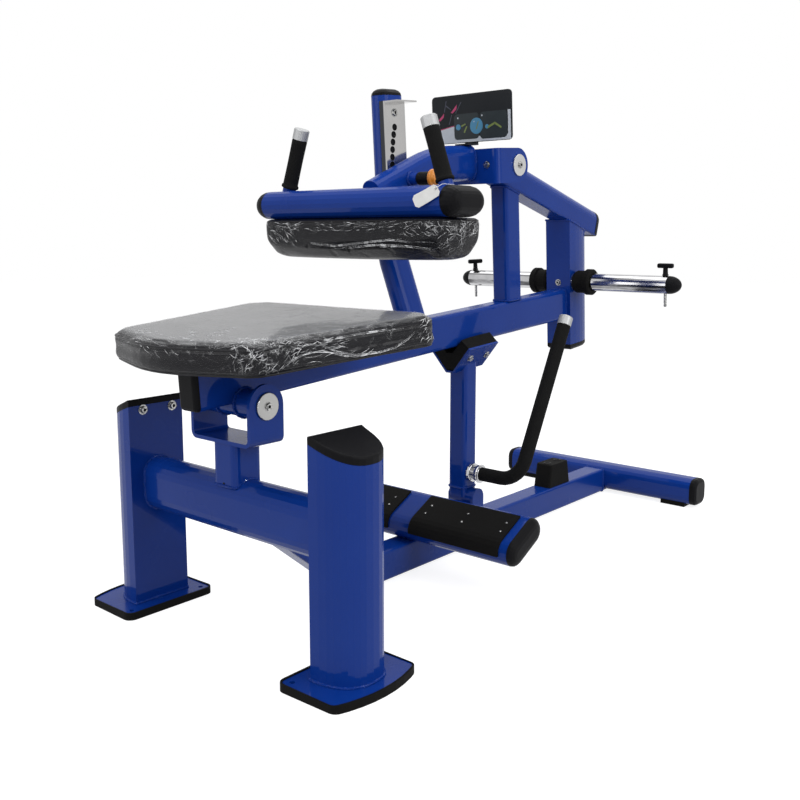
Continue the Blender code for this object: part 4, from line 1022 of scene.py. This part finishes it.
# Black discs and rims in the adjuster plate's holes, as painted shade, and the black cap's lip round the top
# tube's end
holes = {
    "count": 10, "first": math.radians(15.97), "pitch": math.radians(2.84), "swing": 0.3555, "radius": 0.0070,
}
capLip = {"end": 0.548, "before": 0.0085, "after": 0.0040, "stand": 0.0009}


def makeHoles():
    work = bmesh.new()
    for i in range(holes["count"]):
        turn = holes["first"] - holes["pitch"] * i
        centre = armPivot + (swingUp * math.sin(turn) - swingBack * math.cos(turn)) * holes["swing"]
        start, r = centre - across * 0.0310, holes["radius"]
        # painted shade: a black disc in each hole and a black rim round it
        addTurned(work, start, across, ((0, r + 0.0002), (0.0012, r + 0.0002)), 32)
        ring = [(0.0026, r - 0.0003), (0.0034, r), (0.0034, r + 0.0010), (0.0026, r + 0.0012)]
        addRing(work, start, across, ring, 32)
    makePiece("adjusterHoleShade", work, plastic, "frame")


def makeCapLip():
    axis = swingBack * math.cos(topSlope) - swingUp * math.sin(topSlope)
    end = armPivot + axis * capLip["end"]
    outline = evened(sections("top_tube", end - axis * 0.004, axis)[0], 0.003)
    middle = sum(outline, Vector()) / len(outline)
    work = bmesh.new()
    loops = []
    for along, stand in (
        (-capLip["before"], 0.0), (-capLip["before"], capLip["stand"]), (capLip["after"], capLip["stand"]),
        (capLip["after"] + 0.0030, -0.0012),
    ):
        loops.append([
            work.verts.new(p + (p - middle).normalized() * stand + axis * (along + 0.004)) for p in outline
        ])
    bridge(work, loops)
    work.faces.new(loops[-1])
    work.faces.new(loops[0][::-1])
    makePiece("topCapLip", work, plastic, "frame")


makeHoles()
makeCapLip()


# Pull pin: steel rod, moulded grip, orange flange
pullPin = {
    "rodRadius": 0.006, "gripRadius": 0.0155, "flangeRadius": 0.0205, "gripStart": 0.0515, "gripEnd": 0.0900,
    "end": 0.1055,
}


def makePullPin():
    low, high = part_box("pull_pin")
    place = Vector((0, (low[1] + high[1]) / 2, (low[2] + high[2]) / 2))
    work = bmesh.new()
    r = pullPin["rodRadius"]
    end = pullPin["gripStart"] + 0.004
    addTurned(work, place, across, ((low.x, r - 0.0015), (low.x + 0.0015, r), (end, r)))
    rod = makePiece("pullPinRod", work, zinc, "pull_pin")
    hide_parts("pull_pin")
    work = bmesh.new()
    start, end, r = pullPin["gripStart"], pullPin["gripEnd"], pullPin["gripRadius"]
    ribs = [(start, r - 0.004), (start + 0.0012, r - 0.0015)]
    count = 7
    for i in range(count):
        s = start + 0.003 + (end - start - 0.006) * i / count
        step = (end - start - 0.006) / count
        ribs += [(s, r - 0.0012), (s + step * 0.25, r), (s + step * 0.7, r), (s + step * 0.95, r - 0.0012)]
    ribs += [(end, r - 0.0008)]
    addTurned(work, place, across, ribs)
    makePiece("pullPinGrip", work, plastic, "pull_pin", 50)
    work = bmesh.new()
    s, e, r = pullPin["gripEnd"], pullPin["end"], pullPin["flangeRadius"]
    addTurned(work, place, across, (
        (s, 0.012), (s + 0.0004, r - 0.0012), (s + 0.0018, r), (s + 0.0060, r), (s + 0.0078, r - 0.0020),
        (s + 0.0090, r - 0.0050), (e - 0.0030, r - 0.0062), (e - 0.0008, r - 0.0080), (e, r - 0.0105),
    ))
    makePiece("pullPinFlange", work, orange, "pull_pin", 50)


makePullPin()


# Retaining pins on the weight horn: moulded T handle, stem, steel rod with a turned tip
hornPin = {"rod": 0.0040, "handle": (0.046, 0.0145, 0.013), "round": 0.0045, "turn": math.radians(50)}


def makeHornPin(side, word):
    node = "horn_pin_" + word
    turn = 0 if side > 0 else hornPin["turn"]
    long = Matrix.Rotation(turn, 3, swingUp) @ across
    wide = swingUp.cross(long)
    centre = boxMiddle("horn_shaft")
    place = Vector((boxMiddle(node).x, centre.y, centre.z))
    reach = [v.co.dot(swingUp) - place.dot(swingUp) for v in nodes[node].data.vertices]
    bottom, top = min(reach), max(reach)
    work = bmesh.new()
    r = hornPin["rod"]
    addTurned(work, place, swingUp, (
        (bottom, r - 0.0016), (bottom + 0.0016, r), (bottom + 0.007, r), (bottom + 0.0074, r - 0.0008),
        (bottom + 0.0094, r - 0.0008), (bottom + 0.0098, r), (0.0268, r),
    ), 32)
    rod = makePiece(node + "Rod", work, zinc, node)
    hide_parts(node)
    work = bmesh.new()
    size = hornPin["handle"]
    middle = place + swingUp * (top - size[2] / 2)
    addBlock(work, middle, (long, wide, swingUp), size, hornPin["round"], 4)
    addTurned(work, place, swingUp, (
        (0.0252, 0.0070), (0.0258, 0.0085), (0.0285, 0.0085), (0.0300, 0.0070),
        (top - size[2] + 0.002, 0.0064),
    ), 32)
    makePiece(node + "Handle", work, plastic, node, 50)


for side, word in ((-1, "left"), (1, "right")):
    makeHornPin(side, word)


# Threaded coupling on the stop lever
coupling = {"start": 0.0270, "end": 0.0650, "thread": 0.0205, "root": 0.0192, "pitch": 0.0021}


def makeCoupling():
    low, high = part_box("lever_coupling")
    place = Vector((0, (low[1] + high[1]) / 2, (low[2] + high[2]) / 2))
    work = bmesh.new()
    profile, s = [], coupling["start"]
    while s < coupling["end"] - coupling["pitch"]:
        step = coupling["pitch"]
        profile += [
            (s, coupling["root"]), (s + step * 0.35, coupling["thread"]),
            (s + step * 0.55, coupling["thread"]), (s + step * 0.9, coupling["root"]),
        ]
        s += step
    profile.append((coupling["end"], coupling["root"]))
    addTurned(work, place, across, profile, 56)
    for nut, phase in ((0.0290, 0.2), (0.0510, 0.6)):
        addTurned(work, place, across, (
            (nut, 0.0215), (nut + 0.0008, 0.0236), (nut + 0.0072, 0.0236), (nut + 0.0080, 0.0215),
        ), 6, phase)
        addTurned(work, place, across, (
            (nut + 0.0078, 0.0236), (nut + 0.0084, 0.0246), (nut + 0.0100, 0.0246), (nut + 0.0106, 0.0238),
        ), 56)
    item = makePiece("leverCoupling", work, chrome, "stop", 25)
    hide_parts("lever_coupling")


makeCoupling()
print("pins and coupling")


# Foam grips: a flared foot, a slightly waisted sleeve and a rolled end
grip = {"radius": 0.0180, "flange": 0.0205, "waist": 0.0006, "waistSteps": 12, "foot": 0.0090}


def makeGrip(word):
    node = "handle_grip_" + word
    axis = axisOf(node)
    place = middleOf(node)
    reach = [(v.co - place).dot(axis) for v in nodes[node].data.vertices]
    low, high = min(reach), max(reach)
    radius, flange, foot = grip["radius"], grip["flange"], low + grip["foot"]
    profile = [
        (low, flange - 0.003), (low + 0.0010, flange - 0.0008), (low + 0.0022, flange),
        (low + 0.0060, flange), (low + 0.0076, flange - 0.0012), (foot, radius),
    ]
    for i in range(1, grip["waistSteps"]):
        share = i / grip["waistSteps"]
        waist = grip["waist"] * math.sin(math.pi * share)
        profile.append((foot + (high - low - 0.0120) * share, radius - waist))
    profile += [(high - 0.0022, radius), (high - 0.0006, radius - 0.0010), (high, radius - 0.0028)]
    work = bmesh.new()
    addTurned(work, place, axis, profile, 56)
    sleeve = makePiece(node + "Foam", work, foam, "arm", 50)
    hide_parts(node)


def middleOf(node):
    work = merged(node)
    total = Vector((0, 0, 0))
    weight = 0.0
    for face in work.faces:
        total += face.calc_center_median() * face.calc_area()
        weight += face.calc_area()
    work.free()
    return total / weight


def axisOf(node):  # the way a handle leans: from the grip's middle to its cap's
    return (middleOf(node.replace("grip", "cap")) - middleOf(node)).normalized()


for word in ("left", "right"):
    makeGrip(word)
print("grips")


# Placard: layered card shapes
placard = {
    "left": -0.122, "right": 0.127, "low": 0.062, "high": 0.183, "face": -0.0790,
    # left, right, low and high as shares of the card, tenths of a millimetre that it stands out, corner share
    "panels": (
        ("panelInk", 0.285, 0.600, 0.070, 0.60, 3, 0.04), ("panelInk", 0.612, 0.945, 0.055, 0.60, 3, 0.04),
    ),
    # flat shapes: finish, how far out in tenths, corner points as shares
    "shapes": (
        ("paleGrey", 1, (
            (0.012, 0.012), (0.988, 0.012), (0.988, 0.60), (0.955, 0.60), (0.955, 0.12), (0.30, 0.12),
            (0.30, 0.36), (0.012, 0.26),
        )),
        ("panelPink", 2, ((0.012, 0.262), (0.30, 0.362), (0.30, 0.378), (0.012, 0.278))),
        ("panelPink", 2, ((0.075, 0.50), (0.115, 0.57), (0.155, 0.64), (0.150, 0.56), (0.105, 0.49))),
        ("panelPink", 2, ((0.245, 0.64), (0.285, 0.72), (0.325, 0.80), (0.320, 0.71), (0.270, 0.63))),
        ("lineGrey", 1, ((0.155, 0.66), (0.185, 0.90), (0.195, 0.90), (0.165, 0.66))),
        ("lineGrey", 1, ((0.300, 0.62), (0.375, 0.84), (0.385, 0.84), (0.310, 0.62))),
        ("lineGrey", 1, ((0.170, 0.80), (0.245, 0.70), (0.245, 0.72), (0.180, 0.82))),
        ("lineGrey", 1, ((0.215, 0.40), (0.250, 0.60), (0.260, 0.60), (0.225, 0.40))),
        ("panelGreen", 7, ((0.405, 0.22), (0.440, 0.34), (0.455, 0.33), (0.420, 0.20))),
        ("panelGreen", 7, ((0.375, 0.36), (0.430, 0.40), (0.432, 0.37), (0.380, 0.33))),
        ("panelGreen", 7, ((0.560, 0.26), (0.590, 0.42), (0.600, 0.42), (0.572, 0.26))),
        ("panelGreen", 7, ((0.705, 0.30), (0.800, 0.38), (0.805, 0.34), (0.712, 0.26))),
        ("panelGreen", 7, ((0.800, 0.38), (0.880, 0.27), (0.874, 0.24), (0.792, 0.34))),
    ),
    "discs": (
        ("panelBlue", 0.568, 0.33, 0.165), ("panelBlue", 0.338, 0.33, 0.062),
        ("panelBlue", 0.700, 0.30, 0.045), ("paleGrey", 0.335, 0.52, 0.018),
        ("paleGrey", 0.640, 0.53, 0.018), ("paleGrey", 0.540, 0.42, 0.014),
    ),
}


def onCard(u, w, lift):
    x = placard["left"] + (placard["right"] - placard["left"]) * u
    n = placard["low"] + (placard["high"] - placard["low"]) * w
    return onArm(x, placard["face"] - lift, n)


def cardShape(points, lift, thickness=0.0003):
    work = bmesh.new()
    addPlate(work, [onCard(u, w, lift) for u, w in points], thickness, -swingBack)
    return work


def roundedShares(left, right, low, high, corner):
    wide = (placard["right"] - placard["left"]) / (placard["high"] - placard["low"])
    points = []
    for cx, cy, start in (
        (right - corner, high - corner * wide, 0), (left + corner, high - corner * wide, 90),
        (left + corner, low + corner * wide, 180), (right - corner, low + corner * wide, 270),
    ):
        for i in range(7):
            t = math.radians(start + 15 * i)
            points.append((cx + corner * math.cos(t), cy + corner * wide * math.sin(t)))
    return points


def makeCard():
    finishes = {
        "paleGrey": paleGrey, "panelInk": panelInk, "panelBlue": panelBlue, "panelGreen": panelGreen,
        "panelPink": panelPink, "lineGrey": lineGrey,
    }
    wide = (placard["right"] - placard["left"]) / (placard["high"] - placard["low"])
    for i, (key, left, right, low, high, tenths, corner) in enumerate(placard["panels"]):
        work = cardShape(roundedShares(left, right, low, high, corner), 0.0001 * tenths)
        makePiece("placardPanel" + str(i), work, finishes[key], "arm", 60)
    for i, (key, u, w, radius) in enumerate(placard["discs"]):
        turns = [2 * math.pi * k / 28 for k in range(28)]
        points = [(u + radius * math.cos(t) / wide, w + radius * math.sin(t)) for t in turns]
        makePiece("placardDisc" + str(i), cardShape(points, 0.0005), finishes[key], "arm", 60)
    for i, (key, tenths, points) in enumerate(placard["shapes"]):
        makePiece("placardShape" + str(i), cardShape(points, 0.0001 * tenths), finishes[key], "arm", 60)


makeCard()
print("placard")


# Hang tag on its string, over the crossbar from the right handle's stub
tag = {
    "corners": ((0.2078, 0.9080), (0.2646, 0.9333), (0.2789, 0.9112), (0.2234, 0.8823)), "y": -0.3755,
    "thickness": 0.0005, "clip": 0.006, "hole": (0.2655, 0.9235),
}
stringLine = {
    "diameter": 0.0012, "stub": (0.2392, -0.3090), "reach": (0.0180, 0.0176), "level": 0.9336,
    "start": math.radians(255), "end": math.radians(-8), "turns": 20,
}


def makeTag():
    corners = [Vector((x, tag["y"], z)) for x, z in tag["corners"]]
    points = []
    for i, corner in enumerate(corners):
        for other in (corners[i - 1], corners[(i + 1) % 4]):
            points.append(corner + (other - corner).normalized() * tag["clip"])
    work = bmesh.new()
    addPlate(work, points, tag["thickness"], Vector((0, -1, 0)))
    bmesh.ops.subdivide_edges(work, edges=work.edges[:], cuts=5, use_grid_fill=True)
    for vert in work.verts:
        away = (vert.co - corners[1]).dot((corners[3] - corners[1]).normalized())
        vert.co.y -= 0.012 * (away / 0.07) ** 2
    card = makePiece("hangTag", work, white, "arm", 60)
    hole = Vector((tag["hole"][0], tag["y"], tag["hole"][1]))
    rim = ringAt(hole - Vector((0, 0.0004, 0)), Vector((0, 1, 0)), 0.0024, 20)
    eyelet = tube("tagEyelet", rim, 0.0006, zinc, "arm", True)
    route = []
    cx, cy = stringLine["stub"]
    count = stringLine["turns"]
    for i in range(count + 1):
        t = stringLine["start"] + (stringLine["end"] - stringLine["start"]) * i / count
        wide, deep = stringLine["reach"]
        route.append(Vector((cx + wide * math.cos(t), cy + deep * math.sin(t), stringLine["level"])))
    route += [
        Vector((0.2577, -0.3200, 0.9337)), Vector((0.2590, -0.3300, 0.9338)),
        Vector((0.2605, -0.3400, 0.9338)), Vector((0.2620, -0.3490, 0.9330)),
        Vector((0.2632, -0.3575, 0.9305)), Vector((0.2642, -0.3650, 0.9277)),
        Vector((0.2650, -0.3712, 0.9251)), hole - Vector((0, 0.0012, 0.0002)),
    ]
    string = tube("tagString", route, stringLine["diameter"] / 2, white, "arm")
    work = bmesh.new()
    addTurned(work, hole - Vector((0, 0.0008, 0)), Vector((0, -1, 0)), (
        (0, 0.0010), (0.0006, 0.0017), (0.0018, 0.0019), (0.0030, 0.0014), (0.0036, 0.0005)), 20)
    knot = makePiece("tagKnot", work, white, "arm", 60)


makeTag()


# Cushions: cloth over a voxel shell, swollen by pressure up to a cap, then piped and wrapped in film
cushions = {
    "seat_pad": {
        "name": "seatCushion", "body": "frame", "voxel": 0.0060, "shrink": 0.0040,
        "pressure": 4.0, "cap": 0.004,
        "against": -1, "hold": 0.016, "fill": 0.9,
    },
    "thigh_pad": {
        "name": "thighCushion", "body": "arm", "voxel": 0.0045, "shrink": 0.0035,
        "pressure": 4.0, "cap": 0.004,
        "against": 1, "hold": 0.014, "fill": 0.9,
    },
}


def squareTo(node):  # the direction a cushion's flat face looks along
    return swingUp if node == "seat_pad" else upward


def makeCushion(node):
    care = cushions[node]
    axis = squareTo(node) * care["against"]
    work = merged(node)
    bmesh.ops.recalc_face_normals(work, faces=work.faces)
    work.normal_update()
    flat = max(v.co.dot(axis) for v in work.verts)
    for vert in work.verts:
        vert.co -= vert.normal * care["shrink"]
    item = makePiece(care["name"], work, vinyl, None, 180)
    shell = item.modifiers.new("shell", "REMESH")
    shell.mode = "VOXEL"
    shell.voxel_size = care["voxel"]
    shell.use_smooth_shade = True
    settle(item)
    before = [v.co.copy() for v in item.data.vertices]
    normals = [v.normal.copy() for v in item.data.vertices]
    cloth = item.modifiers.new("cloth", "CLOTH")
    cloth.settings.use_pressure = True
    cloth.settings.uniform_pressure_force = care["pressure"]
    cloth.settings.effector_weights.gravity = 0
    for number in range(1, 21):
        bpy.context.scene.frame_set(number)
    shown = item.evaluated_get(bpy.context.evaluated_depsgraph_get())
    after = [v.co.copy() for v in shown.data.vertices]
    item.modifiers.clear()
    bpy.context.scene.frame_set(1)
    for vert, start, end, normal in zip(item.data.vertices, before, after, normals):
        swell = min(max((end - start).dot(normal), 0.0), care["cap"])
        free = smoothStep(flat - start.dot(axis), 0.0, care["hold"])
        vert.co = start + normal * (care["shrink"] * 0.97 + swell * free)
    smooth = item.modifiers.new("smooth", "SUBSURF")
    smooth.levels = smooth.render_levels = 1
    settle(item)
    item.data.materials.clear()
    item.data.materials.append(vinyl)
    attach(item, care["body"])
    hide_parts(node)
    print(care["name"], len(item.data.polygons))
    return item


def longestOutline(item, point, normal):  # where a plane cuts a finished piece
    work = bmesh.new()
    work.from_mesh(item.data)
    return max(cutLoops(work, point, normal), key=len)


seams = {
    # level as a share of the cushion's height, radius of the piping, gap from it to the stitches
    "seat_pad": {"levels": (0.74, 0.06), "radius": 0.0026, "stitch": 0.0062},
    "thigh_pad": {"levels": (0.93,), "radius": 0.0022, "stitch": 0.0058},
}


def makeSeams(node, item):
    care = cushions[node]
    axis = squareTo(node)
    reach = [v.co.dot(axis) for v in item.data.vertices]
    low, high = min(reach), max(reach)
    lines = []
    for i, share in enumerate(seams[node]["levels"]):
        level = low + (high - low) * share
        loop = evened(longestOutline(item, axis * level, axis), 0.006)
        lines.append(loop)
        tube(care["name"] + "Piping" + str(i), loop, seams[node]["radius"], vinyl, care["body"], True)
        for side in (-1, 1):
            stitchLevel = level + side * seams[node]["stitch"]
            if not low + 0.004 < stitchLevel < high - 0.008:
                continue
            run = evened(longestOutline(item, axis * stitchLevel, axis), 0.006)
            thread = lineMesh(care["name"] + "Stitches" + str(i) + ("Low" if side < 0 else "High"), [run])
            stitching.apply(thread, finish=threadFinish)
            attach(thread, care["body"])
    return lines[0]


films = {
    "seat_pad": {
        "name": "seatFilm", "lift": 0.0014, "deep": 0.0016, "fine": 0.0010, "flat": (0.86, 0.80), "seed": 7,
        "bunched": (0.250, -0.800, 0.62),
        # crests by their part of the picture: left, right, top, bottom, number, heading, spread, length
        "crests": (
            (230, 300, 338, 349, 80, 4, 40, 0.020), (232, 300, 348, 376, 90, 50, 80, 0.022),
            (118, 236, 328, 346, 60, -6, 18, 0.020), (280, 350, 338, 349, 50, 6, 24, 0.026),
            (420, 434, 318, 340, 40, 60, 60, 0.018), (140, 176, 344, 362, 8, -50, 20, 0.026),
            (300, 400, 350, 362, 16, 10, 20, 0.040),
        ),
        "sweeps": (
            (
                (318, 342), (325, 347), (338, 352), (355, 355),
                (375, 353.5), (395, 347.5), (408, 339), (417, 330),
            ),
            ((322, 341), (338, 338), (360, 334), (385, 330), (410, 327)),
            ((282, 370), (292, 362), (310, 353), (332, 353.5), (355, 358), (385, 352), (412, 342)),
            ((286, 364), (300, 356), (322, 351), (345, 356.5), (370, 355.5), (398, 347)),
        ),
    },
    "thigh_pad": {
        "name": "thighFilm", "lift": 0.0012, "deep": 0.0014, "fine": 0.0010, "flat": (0.72, 0.42), "seed": 9,
        "crests": (
            (270, 400, 221, 231, 80, 4, 22, 0.020), (400, 466, 221, 236, 60, -8, 50, 0.018),
            (268, 300, 223, 247, 34, -48, 24, 0.022), (460, 477, 222, 236, 44, 70, 60, 0.018),
            (440, 466, 234, 250, 14, 45, 40, 0.026), (330, 430, 240, 249, 8, 3, 10, 0.045),
        ),
        "sweeps": (
            ((310, 243), (335, 246), (360, 243), (390, 240), (420, 243)),
            ((345, 248), (375, 245), (405, 246), (440, 250)),
        ),
    },
}


def ridge(place, scale):  # sharp crests between soft hollows
    return max(0.0, 1 - 2.4 * abs(noise.noise(place * scale))) ** 2


def smoothStep(value, low, high):
    share = min(max((value - low) / (high - low), 0.0), 1.0)
    return share * share * (3 - 2 * share)


def makeFilm(node, item, seam):
    care, sheetCare = cushions[node], films[node]
    axis = squareTo(node)
    outside = axis if node == "seat_pad" else -axis
    work = bmesh.new()
    work.from_mesh(item.data)
    work.normal_update()
    shut = [face for face in work.faces if face.normal.dot(outside) < -0.45]
    bmesh.ops.delete(work, geom=shut, context="FACES")
    layer = work.verts.layers.float.new("crumple")
    paintedTopSheen = work.verts.layers.float.new("paintedTopSheen")
    tree = KDTree(len(seam))
    for i, point in enumerate(seam):
        tree.insert(point, i)
    tree.balance()
    high = max(v.co.dot(axis) for v in work.verts)
    low = min(v.co.dot(axis) for v in work.verts)
    moves = {}
    for vert in work.verts:
        place = vert.co
        near = tree.find(place)[2]
        facing = vert.normal.dot(outside)
        level = (place.dot(axis) - low) / (high - low)
        if node == "seat_pad":
            crumple = 0.04 + 0.60 * (1 - smoothStep(near, 0.004, 0.030))
            away = (place - Vector(sheetCare["bunched"])).length
            bunch = (1 - smoothStep(away, 0.03, 0.14)) * (1 - smoothStep(facing, 0.7, 1.0))
            crumple = min(1.2, crumple + 0.8 * bunch)
        else:
            crumple = 0.05 + 0.65 * smoothStep(level, 0.60, 0.95)
            crumple = min(1.2, crumple + 0.6 * smoothStep(abs(place.x), 0.20, 0.26))
        warp = noise.noise_vector(place * 9.0) * 0.030
        bent = place + warp
        fold, pleat = ridge(bent, 26.0), ridge(bent, 68.0)
        patch = smoothStep(noise.noise(place * 14.0), -0.15, 0.35)
        height = sheetCare["lift"] + crumple * (sheetCare["deep"] * fold + sheetCare["fine"] * pleat * patch)
        # painted sheen: the seat's top faces are marked to get a whiter film
        paintedTopShine = smoothStep(facing, 0.75, 0.98) if node == "seat_pad" else 0.0
        moves[vert] = (height, crumple, paintedTopShine)
    for vert, (height, crumple, paintedTopShine) in moves.items():
        vert[layer] = crumple
        vert[paintedTopSheen] = paintedTopShine
        vert.co += vert.normal * height
    crests = makeCrests(node, BVHTree.FromBMesh(work))
    mesh = bpy.data.meshes.new(sheetCare["name"])
    area = sum(face.calc_area() for face in work.faces)
    work.to_mesh(mesh)
    work.free()
    mesh.polygons.foreach_set("use_smooth", [True] * len(mesh.polygons))
    mesh.materials.clear()
    mesh.materials.append(film)
    sheet = newObject(sheetCare["name"], mesh)
    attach(sheet, care["body"])
    width, length = sheetCare["flat"]
    print(sheetCare["name"], "area", round(area, 4), "of", round(width * length, 4))


def makeCrests(node, tree):  # raised folds of film, short where it bunches and long where it is drawn, in the near-white painted glint finish
    care = films[node]
    rand = random.Random(care["seed"])
    lines = []
    for left, right, top, bottom, number, heading, spread, length in care["crests"]:
        for _ in range(number):
            px, py = rand.uniform(left, right), rand.uniform(top, bottom)
            turn = math.radians(-heading + rand.gauss(0, spread / 2))
            run = length * rand.uniform(0.35, 1.4)
            pixels = run * view["focalPixels"] / 2.5
            bend = rand.uniform(-0.5, 0.5)
            line = []
            for i in range(6):
                t = i / 5 - 0.5
                a = turn + bend * t
                spot = tree.ray_cast(
                    Vector(view["place"]),
                    fromCamera(px + math.cos(a) * t * pixels, py + math.sin(a) * t * pixels)
                )
                if spot[0]:
                    line.append(spot[0] + spot[1] * 0.0004)
            if len(line) == 6 and max((b - a).length for a, b in zip(line, line[1:])) < run:
                lines.append((line, rand.uniform(0.00022, 0.00060)))
    for sweep in care["sweeps"]:
        for shift in (-0.8, 0.0, 0.7):
            drift = rand.uniform(-0.5, 0.5)
            line = []
            for (ax, ay), (bx, by) in zip(sweep, sweep[1:]):
                for i in range(4):
                    t = i / 4
                    px = ax + (bx - ax) * t + drift
                    py = ay + (by - ay) * t + shift + rand.uniform(-0.15, 0.15)
                    spot = tree.ray_cast(Vector(view["place"]), fromCamera(px, py))
                    if spot[0]:
                        line.append(spot[0] + spot[1] * 0.0005)
            if len(line) > 5 and max((b - a).length for a, b in zip(line, line[1:])) < 0.05:
                lines.append((line, rand.uniform(0.00035, 0.00070)))
    print(care["name"], "crests", len(lines))
    return threads(care["name"] + "GlintCrests", lines, glint, cushions[node]["body"])


def threads(name, lines, finish, body):  # many thin tubes that taper to both ends
    curve = newCurve(name, 1.0, 0)
    for points, radius in lines:
        for i, knot in enumerate(addSpline(curve, points).points):
            knot.radius = radius * (0.15 + 0.85 * math.sin(math.pi * i / (len(points) - 1)))
    return makePiece(name, curveSurface(name, curve), finish, body, 180)


threadFinish = plainPlastic("stitchThread", (0.030, 0.030, 0.033), 0.7)
noise.seed_set(7)   # noise_vector is shifted by the clock unless it is seeded
for node in ("seat_pad", "thigh_pad"):
    cushion = makeCushion(node)
    makeFilm(node, cushion, makeSeams(node, cushion))
print("cushions and film")
